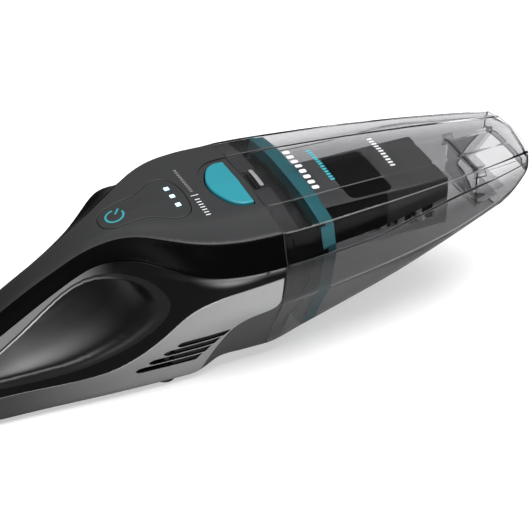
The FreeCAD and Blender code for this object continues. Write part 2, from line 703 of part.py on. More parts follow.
fan = turned("Impeller", [("Dims.shaft_radius", "0"), ("Dims.fan_radius", "0"), ("Dims.fan_radius", "1.2"),
                          ("6", "1.2"), ("4.6", "Dims.fan_length - 3"), ("Dims.shaft_radius", "Dims.fan_length - 3")],
             "Dims.seam_x - 32", "0", "Dims.motor_axis_height")
blade_sketch = closed_sketch(fan, "XY_Plane", [("7", "2"), ("20", "4.4"), ("32", "11.5"), ("31.4", "12.5"),
                                                ("19.6", "5.5"), ("7", "3.1")], "blade")
blade = fan.newObject("PartDesign::Pad", "Impeller_blade")
blade.Profile = blade_sketch
blade.setExpression("Length", "Dims.fan_length - 1.5")
blades = fan.newObject("PartDesign::PolarPattern", "Impeller_blades")
blades.Originals = [blade]
blades.Axis = (blade_sketch, ["N_Axis"])
blades.Angle = 360
blades.Occurrences = 11
fan.Tip = blades
keep("impeller", fan)

motor_back = "Dims.seam_x - 35 - Dims.motor_length"
keep("motor_can", turned("MotorCan", [("Dims.motor_radius - Dims.motor_wall", "0"), ("Dims.motor_radius", "0"),
                                      ("Dims.motor_radius", "Dims.motor_length"),
                                      ("Dims.shaft_radius + 0.9", "Dims.motor_length"),
                                      ("Dims.shaft_radius + 0.9", "Dims.motor_length - Dims.motor_wall"),
                                      ("Dims.motor_radius - Dims.motor_wall",
                                       "Dims.motor_length - Dims.motor_wall")],
                         motor_back, "0", "Dims.motor_axis_height"))
keep("motor_magnets", turned("MotorMagnets", [("Dims.armature_radius + 0.6", "0"),
                                              ("Dims.motor_radius - Dims.motor_wall", "0"),
                                              ("Dims.motor_radius - Dims.motor_wall", "Dims.armature_length + 2"),
                                              ("Dims.armature_radius + 0.6", "Dims.armature_length + 2")],
                             motor_back + " + 9", "0", "Dims.motor_axis_height"))
keep("motor_end_cap", turned("MotorEndCap", [("Dims.shaft_radius + 0.05", "0"), ("Dims.motor_radius - 3", "0"),
                                             ("Dims.motor_radius", "2"),
                                             ("Dims.motor_radius", "Dims.end_cap_length"),
                                             ("Dims.shaft_radius + 0.05", "Dims.end_cap_length")],
                             motor_back + " - Dims.end_cap_length", "0", "Dims.motor_axis_height"))
keep("motor_shaft", rod("MotorShaft", "Dims.shaft_radius", "64.5", "Dims.seam_x - 82", "0",
                        "Dims.motor_axis_height"))
keep("armature", turned("Armature", [("Dims.shaft_radius", "0"), ("Dims.commutator_radius", "0"),
                                     ("Dims.commutator_radius", "Dims.commutator_length"),
                                     ("Dims.armature_radius", "Dims.commutator_length + 1"),
                                     ("Dims.armature_radius", "Dims.commutator_length + Dims.armature_length"),
                                     ("Dims.shaft_radius", "Dims.commutator_length + Dims.armature_length")],
                        motor_back + " + 2", "0", "Dims.motor_axis_height"))


def mount_ring(name, x):
    """One rubber ring round the motor can."""
    return turned(name, [("Dims.motor_radius", "0"), ("Dims.motor_radius + Dims.mount_ring_wall", "0"),
                         ("Dims.motor_radius + Dims.mount_ring_wall", "Dims.mount_ring_width"),
                         ("Dims.motor_radius", "Dims.mount_ring_width")], x, "0", "Dims.motor_axis_height")


keep("motor_mounts", group("MotorMounts", mount_ring("FrontMount", "Dims.seam_x - 44"),
                           mount_ring("BackMount", "Dims.seam_x - 74")))
MOUNT_RADIUS = dim("Dims.motor_radius + Dims.mount_ring_wall")
cradle = body_inner.common(slab(-73, -70, 0, 74)).cut(disc(-74, 6, MOUNT_RADIUS))
for side in (-1, 1):
    cradle = cradle.cut(Part.makeBox(6, 14, 26, Vec(SEAM_X - 74, side * 31 - 7, 22)))
keep_shape("motor_cradle", cradle)

# ---------------------------------------------------------------------------------------------------------
# Battery, board, switch and charging jack
# ---------------------------------------------------------------------------------------------------------

cell_x = "Dims.seam_x - Dims.cell_front - Dims.cell_length"
cells = [rod(name, "Dims.cell_radius", "Dims.cell_length", cell_x, f"{sign} * Dims.cell_pitch / 2",
             "Dims.cell_height + Dims.cell_radius - 8") for name, sign in (("CellLeft", 1), ("CellRight", -1))]
keep("battery_cells", group("BatteryCells", *cells))
tray = box("Tray", "Dims.cell_length + 4", "42", "8.6", cell_x + " - 2", "-21", "4.4")
beds = [rod(name, "Dims.cell_radius + 0.05", "Dims.cell_length + 2", cell_x + " - 1", f"{sign} * Dims.cell_pitch / 2",
            "Dims.cell_height + Dims.cell_radius - 8") for name, sign in (("BedLeft", 1), ("BedRight", -1))]
keep("battery_holder", cut("BatteryHolder", tray, *beds))
tabs = [box("FrontTab", "0.4", "27", "7", "Dims.seam_x - Dims.cell_front", "-13.5", "13.1"),
        box("BackTabLeft", "0.4", "7", "7", cell_x + " - 0.4", "6.2", "13.1"),
        box("BackTabRight", "0.4", "7", "7", cell_x + " - 0.4", "-13.2", "13.1")]
keep("battery_tabs", group("BatteryTabs", *tabs))

board = padded("ControlBoard", "XY_Plane",
               [("0", "10"), ("30", "10"), ("30", "0"), ("46", "0"), ("46", "56"), ("30", "56"), ("30", "46"),
                ("0", "46")], "Dims.board_wall", "Dims.seam_x - 90", "-28", "Dims.board_height")
keep("control_board", board)
BOARD_TOP = dim("Dims.board_height + Dims.board_wall")
POSTS = [(-50, 25.4), (-50, -25.4), (-84, 15.6), (-84, -15.6)]
posts = [Part.makeCylinder(1.9, 20, Vec(SEAM_X + x, y, BOARD_TOP)).common(body_inner) for x, y in POSTS]
keep_shape("board_posts", Part.makeCompound([post.cut(Part.makeCylinder(0.8, 6, Vec(SEAM_X + x, y, BOARD_TOP - 1)))
                                             for post, (x, y) in zip(posts, POSTS)]))
screws = []
for x, y in POSTS:
    board_low = dim("Dims.board_height")
    screws.append(Part.makeCylinder(1.8, 1.2, Vec(SEAM_X + x, y, board_low - 1.2)).fuse(
        Part.makeCylinder(0.8, 4, Vec(SEAM_X + x, y, BOARD_TOP - 0.05))))
keep_shape("board_screws", Part.makeCompound([s.Solids[0] for s in screws]))

spot = "Dims.seam_x - Dims.power_spot"
half = "Dims.switch_size / 2"
board_top = "Dims.board_height + Dims.board_wall"
switch_block = box("SwitchBlock", "Dims.switch_size", "Dims.switch_size", "Dims.switch_height",
                   f"{spot} - {half}", f"-{half}", board_top)
switch_well = rod("SwitchWell", "Dims.plunger_radius + 0.35", "Dims.switch_height", spot, "0",
                  f"{board_top} + 1", degrees=0.0)
keep("power_switch", cut("PowerSwitch", switch_block, switch_well))
keep("switch_plunger", rod("SwitchPlunger", "Dims.plunger_radius", "Dims.switch_height - 1.2", spot, "0",
                           f"{board_top} + 2.2", degrees=0.0))
PLUNGER_TOP = dim("Dims.board_height + Dims.board_wall + 1 + Dims.switch_height")

# Charging jack in the back of the handle.
JACK_Z = 18.5
keep("charging_jack", turned("ChargingJack", [("0", "0"), ("Dims.jack_radius", "0"), ("Dims.jack_radius", "16"),
                                              ("Dims.jack_bore", "16"), ("Dims.jack_bore", "6.5"), ("0", "6.5")],
                             "Dims.seam_x - Dims.body_length + 16.2", "0", "18.5", degrees=-90.0))

# Exhaust foam behind the vents.
foam_zone = side_prism([(-67, 20), (-36, 20), (-33, 46), (-67, 46)], -SIDE_FAR, SIDE_FAR)
foam = body_inner.cut(form(BODY_STATIONS[:-1], WALL + 3)).common(foam_zone)
foam = foam.cut(slab(-70, -30, 0, 60, 20))
keep_shape("exhaust_foam", Part.makeCompound(foam.Solids))


def lead(points, radius=0.9):
    """Round wire through points given as (station, y, z)."""
    curve = Part.BSplineCurve()
    curve.interpolate(Points=[Vec(SEAM_X + x, y, z) for x, y, z in points])
    first = Vec(SEAM_X + points[0][0], points[0][1], points[0][2])
    start = Part.Wire([Part.makeCircle(radius, first, curve.tangent(curve.FirstParameter)[0])])
    return Part.Wire([curve.toShape()]).makePipeShell([start], True, True)


battery_route = [(-96.6, 6, 17), (-91, 13, 20), (-83, 21, 28), (-76.6, 25.3, 42), (-76.3, 25.5, 55),
                 (-76.3, 25.5, 70), (-75.8, 25, 84), (-74.5, 19, 96), (-71, 11, 104.9)]
motor_route = [(-77.4, 18.9, 60), (-77, 20.5, 70), (-75, 20, 82), (-70, 12, 96), (-66, 5, 104.9)]
for name, route in (("battery_leads", battery_route), ("motor_leads", motor_route)):
    keep_shape(name, Part.makeCompound([lead([(x, side * y, z) for x, y, z in route]) for side in (1, -1)]))

# ---------------------------------------------------------------------------------------------------------
# Release button and latch
# ---------------------------------------------------------------------------------------------------------

cap = cover_plate.common(half_moon(0.0))
raised = cap.copy()
raised.translate(Vec(0, 0, dim("Dims.button_stand")))
stem = Part.makeBox(5, 8, 12, Vec(SEAM_X - 15.5, -4, 107.35))
keep_shape("release_button", cap.fuse(raised).fuse(stem).removeSplitter())

LEVER_LOW = 104.0
PIVOT = (-dim("Dims.latch_pivot_back"), dim("Dims.latch_pivot_height"))
LATCH_HALF = dim("Dims.latch_half")
lever = side_prism([(-37, LEVER_LOW), (7, LEVER_LOW), (7, 114), (5, 117.3), (3.6, 117.3), (3.6, 107), (-29, 107),
                    (-29.5, 109.5), (-36, 109.5), (-37, 108)], -LATCH_HALF, LATCH_HALF)
lever = lever.cut(Part.makeCylinder(dim("Dims.latch_pin_radius + 0.06"), 40,
                                    Vec(SEAM_X + PIVOT[0], -20, PIVOT[1]), Vec(0, 1, 0)))
keep_shape("latch_lever", lever)
pivot_x = "Dims.seam_x - Dims.latch_pivot_back"
keep("latch_pin", rod("LatchPin", "Dims.latch_pin_radius", "22", pivot_x, "-11", "Dims.latch_pivot_height", **rod_y))
cheeks = [box(name, "24.5", "2.5", "11", "Dims.seam_x - 37.5", y, "99.5")
          for name, y in (("CheekLeft", "8.5"), ("CheekRight", "-11"))]
bridge = box("Bridge", "8", "22", "1.8", "Dims.seam_x - 26", "-11", "108.7")
pin_hole = rod("LatchPinHole", "Dims.latch_pin_radius", "30", pivot_x, "-15", "Dims.latch_pivot_height", **rod_y)
keep("latch_bracket", cut("LatchBracket", join("BracketWhole", *cheeks, bridge), pin_hole))

coil = Part.makeHelix(1.5, 6.9, 2.6)
coil_path = Part.Wire(coil.Edges)
wire_ring = Part.Wire([Part.makeCircle(0.3, Vec(2.6, 0, 0), Vec(0, 1, 0.09))])
spring = coil_path.makePipeShell([wire_ring], True, True)
spring.translate(Vec(SEAM_X - 22, 0, 110.9))
keep_shape("button_spring", spring)

# ---------------------------------------------------------------------------------------------------------
# Pieces that change the shells: key, jack hole, screws, feet
# ---------------------------------------------------------------------------------------------------------

SPOT_X = SEAM_X - dim("Dims.power_spot")
ring = Part.makeCylinder(5.9, 40, Vec(SPOT_X, 0, 90)).cut(Part.makeCylinder(4.9, 40, Vec(SPOT_X, 0, 90)))
ring = ring.cut(Part.makeBox(9, 4.4, 40, Vec(SPOT_X - 9, -2.2, 90)))
bar = Part.makeBox(6.2, 1.1, 40, Vec(SPOT_X - 6.8, -0.55, 90))
symbol = Part.makeCompound([ring, bar])
key = nodes["control_key"].Shape
power_symbol = key.common(ring).fuse(key.common(bar))
pitch, size = dim("Dims.led_pitch"), dim("Dims.led_size")
windows = [Part.makeBox(size, size, 40, Vec(SEAM_X - dim("Dims.led_line") - size / 2, i * pitch - size / 2, 90))
           for i in (-1, 0, 1)]
lights = Part.makeCompound([key.common(window) for window in windows])
for tool in [ring, bar] + windows:
    key = key.cut(tool)
foot = Part.makeCylinder(2.4, 20, Vec(SPOT_X, 0, PLUNGER_TOP + 0.3)).common(body_inner)
keep_shape("power_symbol", Part.makeCompound(power_symbol.Solids))
keep_shape("charge_lights", Part.makeCompound(lights.Solids))
nodes["control_key"].Shape = key.fuse(foot).removeSplitter()

FEET = [(-66, 20), (-66, -20), (-192, 15), (-192, -15)]
FOOT_RADIUS = dim("Dims.foot_radius")
FOOT_DEPTH = 1.9
pads = [Part.makeCylinder(FOOT_RADIUS, FOOT_DEPTH, Vec(SEAM_X + x, y, 0)) for x, y in FEET]
keep_shape("base_pads", Part.makeCompound(pads))

SCREWS = [(-214, 30), (-131, 87.5), (-84, 11), (-58, 93)]
BOSS_RADIUS = 3.6
screws = []
left, right = nodes["housing_left"].Shape, nodes["housing_right"].Shape
hollow = body_inner.cut(finger_cut(WALL))
for x, z in SCREWS:
    post = Part.makeCylinder(BOSS_RADIUS, SIDE_FAR, Vec(SEAM_X + x, 0, z), Vec(0, 1, 0)).common(hollow)
    left = left.fuse(post)
    right = right.fuse(Part.makeCylinder(BOSS_RADIUS, SIDE_FAR, Vec(SEAM_X + x, 0, z), Vec(0, -1, 0)).common(hollow))
    if z < 20:
        left = left.fuse(Part.makeBox(5, 11, z, Vec(SEAM_X + x - 2.5, 0, 0)).common(hollow))
        right = right.fuse(Part.makeBox(5, 11, z, Vec(SEAM_X + x - 2.5, -11, 0)).common(hollow))
head_top = {-214: 12, -131: 14, -84: 34, -58: 44}
for x, z in SCREWS:
    outer_y = head_top[x]
    shaft = Part.makeCylinder(dim("Dims.screw_radius"), outer_y + 6, Vec(SEAM_X + x, -6, z), Vec(0, 1, 0))
    head = Part.makeCylinder(dim("Dims.screw_head_radius"), 2.2, Vec(SEAM_X + x, outer_y - 2.2, z), Vec(0, 1, 0))
    access = Part.makeCylinder(dim("Dims.screw_head_radius"), 60, Vec(SEAM_X + x, outer_y - 2.2, z), Vec(0, 1, 0))
    screw = shaft.fuse(head).removeSplitter()
    screws.append(screw)
    left = left.cut(access).cut(shaft)
    right = right.cut(shaft)
    for name in ("side_panel_left", "side_band_left"):
        nodes[name].Shape = nodes[name].Shape.cut(access).cut(shaft)
keep_shape("housing_screws", Part.makeCompound(screws))
jack_hole = Part.makeCylinder(dim("Dims.jack_radius"), 20, Vec(SEAM_X + BODY_END - 1, 0, JACK_Z), Vec(1, 0, 0))
nodes["housing_left"].Shape = left.cut(jack_hole)
nodes["housing_right"].Shape = right.cut(jack_hole)
for pad in pads:
    for name in ("side_panel_left", "side_panel_right", "housing_left", "housing_right"):
        nodes[name].Shape = nodes[name].Shape.cut(pad)

# ---------------------------------------------------------------------------------------------------------
# Writes every sub-part
# ---------------------------------------------------------------------------------------------------------


def write_parts():
    """Recomputes, checks every object and shape, and writes one STEP file for each sub-part."""
    doc.recompute()
    for item in doc.Objects:
        if "Invalid" in item.State or "Error" in item.State:
            raise SystemExit(f"{item.Name} ({item.Label}) failed: {item.State}")
    os.makedirs("parts", exist_ok=True)
    for label, item in nodes.items():
        shape = item.Shape
        if shape.isNull() or not shape.isValid() or not shape.Solids:
            raise SystemExit(f"{label} has no valid solid")
        shape.exportStep(f"parts/{label}.step")
        limits = shape.BoundBox
        print(f"{label:22s} solids {len(shape.Solids):3d}  volume {shape.Volume / 1000:8.2f} cm3  "
              f"x {limits.XMin:7.1f} {limits.XMax:7.1f}  y {limits.YMin:6.1f} {limits.YMax:6.1f}  "
              f"z {limits.ZMin:6.1f} {limits.ZMax:6.1f}")


write_parts()
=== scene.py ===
"""Looks of the handheld vacuum cleaner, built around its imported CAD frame.

Lengths inside the helpers are in millimetres; a station x is measured from the seam between the motor housing
and the dust container, negative towards the handle.  Meshes are written in metres in the frame of the CAD.
"""

import math

import bpy
import numpy as np
from mathutils import Matrix, Vector
from mathutils.geometry import delaunay_2d_cdt


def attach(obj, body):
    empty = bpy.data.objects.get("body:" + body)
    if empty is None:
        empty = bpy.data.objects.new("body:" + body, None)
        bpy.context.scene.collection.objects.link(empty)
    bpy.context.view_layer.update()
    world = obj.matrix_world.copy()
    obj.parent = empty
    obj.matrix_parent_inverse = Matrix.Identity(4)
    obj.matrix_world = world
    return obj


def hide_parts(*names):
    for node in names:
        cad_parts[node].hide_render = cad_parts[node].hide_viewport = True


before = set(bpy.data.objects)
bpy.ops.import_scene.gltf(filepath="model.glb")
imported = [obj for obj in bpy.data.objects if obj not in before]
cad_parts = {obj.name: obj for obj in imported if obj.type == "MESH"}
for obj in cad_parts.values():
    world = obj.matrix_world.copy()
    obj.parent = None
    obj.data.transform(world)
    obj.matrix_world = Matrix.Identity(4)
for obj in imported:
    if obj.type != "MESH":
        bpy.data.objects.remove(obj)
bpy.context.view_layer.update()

SEAM_X = 20.0
MM = 0.001
MIRROR = [1, -1, 1]
SIDES = ((False, "right"), (True, "left"))      # whether a side is mirrored, and its name

# ---- Outer form: rails along the length and rounded cross-sections ----

CROWN_Z = [(-229, 22), (-224, 33), (-216, 42), (-205, 50.5), (-180, 66.5), (-150, 85.3), (-130, 97),
           (-110, 108.5), (-95, 114.8), (-75, 119.2), (-50, 120.6), (-20, 120.9), (0, 120.2), (60, 118.5),
           (120, 116), (189, 112.3)]
RIDGE_Y = [(-229, 3), (-224, 6), (-216, 8), (-205, 8.6), (-180, 8.8), (-150, 9.2), (-130, 10.4), (-115, 12.4),
           (-100, 16.6), (-90, 21.4), (-80, 28.2), (-70, 36.5), (-60, 44.4), (-50, 50.2), (-38, 54.3),
           (-20, 56.8), (0, 56.9), (60, 51.4), (120, 42.4), (160, 34.3), (189, 27.6)]
RIDGE_Z = [(-229, 20.6), (-224, 31.4), (-216, 40.4), (-205, 49), (-180, 65.2), (-150, 84.1), (-130, 95.7),
           (-115, 104.5), (-100, 111.2), (-90, 114.5), (-80, 116.2), (-65, 116.4), (-50, 116), (-20, 114.8),
           (0, 114.3), (60, 113.3), (120, 111.6), (189, 109)]
BELT_Y = [(-229, 5), (-224, 12), (-216, 16), (-205, 18), (-180, 18), (-150, 18), (-130, 19), (-115, 21.5),
          (-100, 30), (-90, 39), (-80, 46.5), (-71, 52), (-60, 56.2), (-50, 58.8), (-38, 61), (-20, 62.8),
          (0, 63.5), (60, 58.2), (97, 52), (136, 44), (165, 36), (189, 28)]
BELT_Z = [(-229, 18), (-224, 26), (-216, 34), (-205, 42), (-180, 57), (-150, 75.5), (-130, 88), (-115, 97.5),
          (-103, 104), (-94, 107.5), (-86, 108), (-78, 106), (-66, 101.2), (-52, 96.4), (-38, 93.8), (-20, 93),
          (0, 93.4), (60, 94.6), (97, 98.4), (136, 101.6), (189, 101.5)]
TUCK_Y = [(-229, 6), (-224, 14), (-216, 18), (-205, 20.5), (-180, 21), (-150, 21.5), (-130, 23), (-115, 26),
          (-100, 33), (-90, 39), (-80, 44.5), (-71, 48.6), (-60, 52.3), (-50, 55.2), (-38, 58.2), (-20, 60.6),
          (0, 61.6), (60, 56.9), (97, 51), (136, 43), (165, 35.6), (189, 28)]
TUCK_Z = [(-229, 17), (-224, 24), (-216, 31), (-205, 38), (-180, 52), (-150, 69.5), (-130, 81), (-115, 90),
          (-103, 96), (-90, 98.5), (-78, 97), (-66, 93.6), (-52, 89.6), (-38, 87.2), (-20, 86.4), (0, 87),
          (60, 90), (97, 94.5), (136, 98), (189, 99)]
SIDE_Y = [(-229, 7), (-224, 16), (-216, 21.5), (-205, 27), (-180, 31), (-150, 33.8), (-115, 38.4), (-90, 43.4),
          (-70, 47.6), (-40, 51.8), (-20, 54), (0, 55.6), (60, 50.5), (120, 42.4), (160, 33.5), (189, 27.6)]
SIDE_Z = [(-229, 15.5), (-224, 16), (-216, 16.5), (-205, 18), (-180, 20.5), (-150, 22.5), (-115, 28), (-90, 36.5),
          (-70, 46), (-40, 56), (-20, 58.5), (0, 60), (60, 63.5), (120, 69), (160, 76), (189, 88)]
KEEL_Y = [(-229, 6), (-224, 13), (-216, 18.5), (-205, 23), (-180, 26.5), (-150, 28), (-90, 31), (-50, 31.6),
          (0, 30), (60, 30), (120, 29), (189, 26.8)]
KEEL_Z = [(-229, 13.5), (-224, 8), (-216, 4), (-205, 2.3), (-190, 1.8), (-50, 1.8), (-43, 4.5), (-32, 10.6),
          (-22, 11.8), (0, 11.4), (25, 18.6), (60, 30), (96, 42), (132, 56.6), (165, 70.6), (189, 82)]
FLOOR_Z = [(-229, 12.5), (-224, 6.5), (-216, 2.8), (-205, 1.3), (-50, 1.2), (-43, 3), (-32, 7), (-22, 7.8),
           (0, 7.2), (25, 14.6), (60, 26), (96, 38), (132, 52.8), (165, 66.8), (189, 78)]


def columns_of(*values):
    """Points whose coordinates are given one array each."""
    return np.stack(values, axis=1)


def rail(points, x):
    """Values of a rail at the stations x: a cubic through its points that doesn't overshoot them."""
    px, py = np.array(points, float).T
    slope = np.diff(py) / np.diff(px)
    tangent = np.zeros_like(px)
    same = slope[:-1] * slope[1:] > 0
    tangent[1:-1][same] = 2 * slope[:-1][same] * slope[1:][same] / (slope[:-1] + slope[1:])[same]
    tangent[0], tangent[-1] = slope[0], slope[-1]
    x = np.clip(x, px[0], px[-1])
    i = np.clip(np.searchsorted(px, x, side="right") - 1, 0, len(px) - 2)
    step = px[i + 1] - px[i]
    t = (x - px[i]) / step
    return ((2 * t**3 - 3 * t**2 + 1) * py[i] + (t**3 - 2 * t**2 + t) * step * tangent[i]
            + (3 * t**2 - 2 * t**3) * py[i + 1] + (t**3 - t**2) * step * tangent[i + 1])


def soften(values, reach):
    """Gaussian blur of values along the first axis, with the ends held."""
    half = int(3 * reach)
    weight = np.exp(-0.5 * (np.arange(-half, half + 1) / reach) ** 2)
    weight /= weight.sum()
    pad = [(half, half)] + [(0, 0)] * (values.ndim - 1)
    wide = np.pad(values, pad, mode="reflect", reflect_type="odd")
    return sum(w * wide[i:i + len(values)] for i, w in enumerate(weight))


GRID = 0.5
STATIONS = np.arange(-229, 189 + GRID, GRID)
RAILS = [rail(points, STATIONS) for points in
         (CROWN_Z, RIDGE_Y, RIDGE_Z, BELT_Y, BELT_Z, TUCK_Y, TUCK_Z, SIDE_Y, SIDE_Z, KEEL_Y, KEEL_Z, FLOOR_Z)]
RAILS = soften(np.array(RAILS).T, 3.0 / GRID).T
(crown_z, ridge_y, ridge_z, belt_y, belt_z, tuck_y, tuck_z, side_y, side_z, keel_y, keel_z, floor_z) = RAILS
crease_y = ridge_y * 0.55
# Under the belt of the housing a groove runs in and a roll comes out again; both fade behind the motor.
roll_here = np.clip((STATIONS + 66) / 26, 0, 1)
roll_here = roll_here * roll_here * (3 - 2 * roll_here) * (STATIONS < 0.2)
groove_y, groove_z = belt_y - 4.2, belt_z - 3.0
crest_y, crest_z = belt_y - 1.7, belt_z - 5.8
share = np.clip((belt_z - 5.8 - side_z) / np.maximum(tuck_z - side_z, 1), 0.3, 0.95)
plain_y, plain_z = side_y + (tuck_y - side_y) * share, side_z + (tuck_z - side_z) * share
tuck_y, tuck_z = tuck_y + (groove_y - tuck_y) * roll_here, tuck_z + (groove_z - tuck_z) * roll_here
crest_y, crest_z = plain_y + (crest_y - plain_y) * roll_here, plain_z + (crest_z - plain_z) * roll_here
crease_z = crown_z + 0.2 * (ridge_z - crown_z)
ZERO = np.zeros_like(STATIONS)
# Corners of the half section, how far each one is rounded, and the bulge of the side that follows it.
CORNERS = np.array([[ZERO, crown_z], [crease_y, crease_z], [ridge_y, ridge_z], [belt_y, belt_z],
                    [tuck_y, tuck_z], [crest_y, crest_z], [side_y, side_z], [keel_y, keel_z],
                    [ZERO, floor_z]])
ROUND_HOUSING = [0, 5.0, 3.0, 1.8, 2.0, 3.0, 8.0, 9.0, 0]
ROUND_BIN = [0, 0.9, 1.5, 1.3, 2.2, 3.0, 3.0, 4.0, 0]
on_bin = np.clip((STATIONS + 7) / 9, 0, 1)
ROUNDING = [a + (b - a) * on_bin for a, b in zip(ROUND_HOUSING, ROUND_BIN)]
# The keel's edge is already sharp where the lower shell rises from the base.
ROUNDING[7] = 9.0 - 5.0 * np.clip((STATIONS + 34) / 16, 0, 1)
BULGES = [0.25, 0.5, 1.0, 0.1, 0.0, -0.3, 0.8, 0.6]
SIDE_STEPS, CORNER_STEPS = 10, 7
T_A, T_B, T_C, T_K = 1, 2, 3, 7        # crown crease, ridge, belt and keel among the corners


def unit(vectors):
    """The vectors, each of length 1."""
    return vectors / np.maximum(np.linalg.norm(vectors, axis=-1, keepdims=True), 1e-9)


def bezier(start, corner, stop, t):
    """Point at t on the curve from start to stop that a corner pulls out."""
    return (1 - t) ** 2 * start + 2 * t * (1 - t) * corner + t**2 * stop


def section_rows():
    """Half sections for every station: arrays [station, point] of y and z, and where each corner falls."""
    rows, marks, count = [], [0], len(CORNERS)
    lengths = np.hypot(*(CORNERS[1:] - CORNERS[:-1]).transpose(1, 0, 2))
    cutoff = [ZERO] + [np.minimum(ROUNDING[i], 0.42 * np.minimum(lengths[i - 1], lengths[i]))
                       for i in range(1, count - 1)] + [ZERO]

    def on_side(i, s):
        """Point at a share s of side i, on its shallow bulge."""
        run = CORNERS[i + 1] - CORNERS[i]
        size = np.maximum(lengths[i], 1e-6)
        bulge = BULGES[i] * np.minimum(1.0, size / 12.0)
        return CORNERS[i] + run * s + np.array([run[1], -run[0]]) / size * (4 * bulge * s * (1 - s))

    for i in range(count - 1):
        s0 = cutoff[i] / np.maximum(lengths[i], 1e-6)
        s1 = 1 - cutoff[i + 1] / np.maximum(lengths[i], 1e-6)
        for k in range(SIDE_STEPS + 1):
            if i == 0 or k > 0:
                rows.append(on_side(i, s0 + (s1 - s0) * k / SIDE_STEPS))
        if i < count - 2:
            start = on_side(i, s1)
            stop = on_side(i + 1, cutoff[i + 1] / np.maximum(lengths[i + 1], 1e-6))
            corner = CORNERS[i + 1]
            marks.append(len(rows) + CORNER_STEPS // 2)
            for k in range(1, CORNER_STEPS + 1):
                rows.append(bezier(start, corner, stop, k / CORNER_STEPS))
    marks.append(len(rows) - 1)
    return np.array(rows).transpose(2, 0, 1), marks


SECTIONS, MARKS = section_rows()          # [station, point, (y, z)]
ARC = np.concatenate([np.zeros((len(STATIONS), 1)),
                      np.cumsum(np.hypot(*np.diff(SECTIONS, axis=1).transpose(2, 0, 1)), axis=1)], axis=1)
WIDEST = ARC[:, -1].max()
A_STEP = 0.5
A_GRID = np.arange(0, WIDEST + A_STEP, A_STEP)
TABLE = np.stack([columns_of(*(np.interp(A_GRID, ARC[i], SECTIONS[i, :, c]) for c in (0, 1)))
                  for i in range(len(STATIONS))])      # [station, arc, (y, z)]


def table_normals(table, step):
    """Outward normals of the right-hand half, on the nodes of the table."""
    dx = np.gradient(table, GRID, axis=0)
    da = np.gradient(table, step, axis=1)
    # position = (x, -y, z): cross of the direction down the section with the direction along the length
    b = np.stack([np.zeros(da.shape[:2]), -da[..., 0], da[..., 1]], axis=-1)
    c = np.stack([np.ones(da.shape[:2]), -dx[..., 0], dx[..., 1]], axis=-1)
    return unit(np.cross(b, c))


NORMALS = table_normals(TABLE, A_STEP)


def bilinear(table, x, a):
    """Table value at stations x and arc lengths a."""
    fx = np.clip((x - STATIONS[0]) / GRID, 0, table.shape[0] - 1.001)
    fa = np.clip(a / A_STEP, 0, table.shape[1] - 1.001)
    i, j = fx.astype(int), fa.astype(int)
    u, v = (fx - i)[:, None], (fa - j)[:, None]
    return ((1 - u) * (1 - v) * table[i, j] + u * (1 - v) * table[i + 1, j]
            + (1 - u) * v * table[i, j + 1] + u * v * table[i + 1, j + 1])


def skin(q):
    """Outer surface at q = (station, signed arc length from the top); positive arcs are the right side (-Y)."""
    x, a = q[:, 0], q[:, 1]
    yz = bilinear(TABLE, x, np.abs(a))
    n = bilinear(NORMALS, x, np.abs(a))
    side = np.where(a < 0, 1.0, -1.0)
    point = columns_of(x + SEAM_X, side * yz[:, 0], yz[:, 1])
    n = columns_of(n[:, 0], np.where(a < 0, -n[:, 1], n[:, 1]), n[:, 2])
    return point, unit(n)


def full_arc(x):
    """Arc length from the top centre to the bottom centre."""
    return np.interp(x, STATIONS, ARC[:, -1])


def skin_below(q):
    """Outer surface at q = (station, signed arc length from the bottom centre); positive is the right side."""
    reach = full_arc(q[:, 0])
    a = np.clip(reach - np.abs(q[:, 1]), 0, None)
    point, n = skin(columns_of(q[:, 0], a))
    flip = np.where(q[:, 1] < 0, -1.0, 1.0)
    point[:, 1] *= flip
    n[:, 1] *= flip
    return point, n


def arc_at_mark(x, mark):
    """Arc length of a feature line at stations x."""
    return np.interp(x, STATIONS, ARC[:, MARKS[mark]])


def near_rows(x, values):
    """The nearest section's number beside each value, at stations x."""
    near = np.rint((np.clip(np.atleast_1d(x), STATIONS[0], STATIONS[-1]) - STATIONS[0]) / GRID).astype(int)
    return zip(near, np.atleast_1d(values))


def arc_at_z(x, heights):
    """Arc length at which the side of the section reaches a height."""
    return np.array([np.interp(-z, -SECTIONS[i, :, 1], ARC[i]) for i, z in near_rows(x, heights)])


def arc_at_y(x, widths):
    """Arc length on the top at which the half width is y; keeps the sign of y."""
    top = MARKS[T_C]
    return np.array([math.copysign(np.interp(abs(y), SECTIONS[i, :top, 0], ARC[i, :top]), y)
                     for i, y in near_rows(x, widths)])


# ---- Outlines ----


def resample(points, spacing, closed=True):
    """Points spread evenly along a polyline."""
    points = np.array(points, float)
    if closed:
        points = np.vstack([points, points[:1]])
    along = np.concatenate([[0], np.cumsum(np.linalg.norm(np.diff(points, axis=0), axis=1))])
    count = max(3, int(round(along[-1] / spacing)))
    at = np.linspace(0, along[-1], count + 1)
    out = columns_of(*(np.interp(at, along, column) for column in points.T))
    return out[:-1] if closed else out


def cut_corner(before, here, after):
    """Curve that cuts a corner (x, y, radius) off at about its radius."""
    spot, radius = np.array(here[:2], float), here[2]
    if radius <= 0:
        return [spot]
    ends = []
    for other in (before, after):
        run = np.array(other[:2], float) - spot
        ends.append(spot + run * (min(radius, 0.49 * np.linalg.norm(run)) / np.linalg.norm(run)))
    return [bezier(ends[0], spot, ends[1], t) for t in np.linspace(0, 1, 9)]


def rounded(corners, spacing=1.0):
    """Closed outline through (x, y, radius) corners."""
    return resample([point for i, corner in enumerate(corners)
                     for point in cut_corner(corners[i - 1], corner, corners[(i + 1) % len(corners)])], spacing)


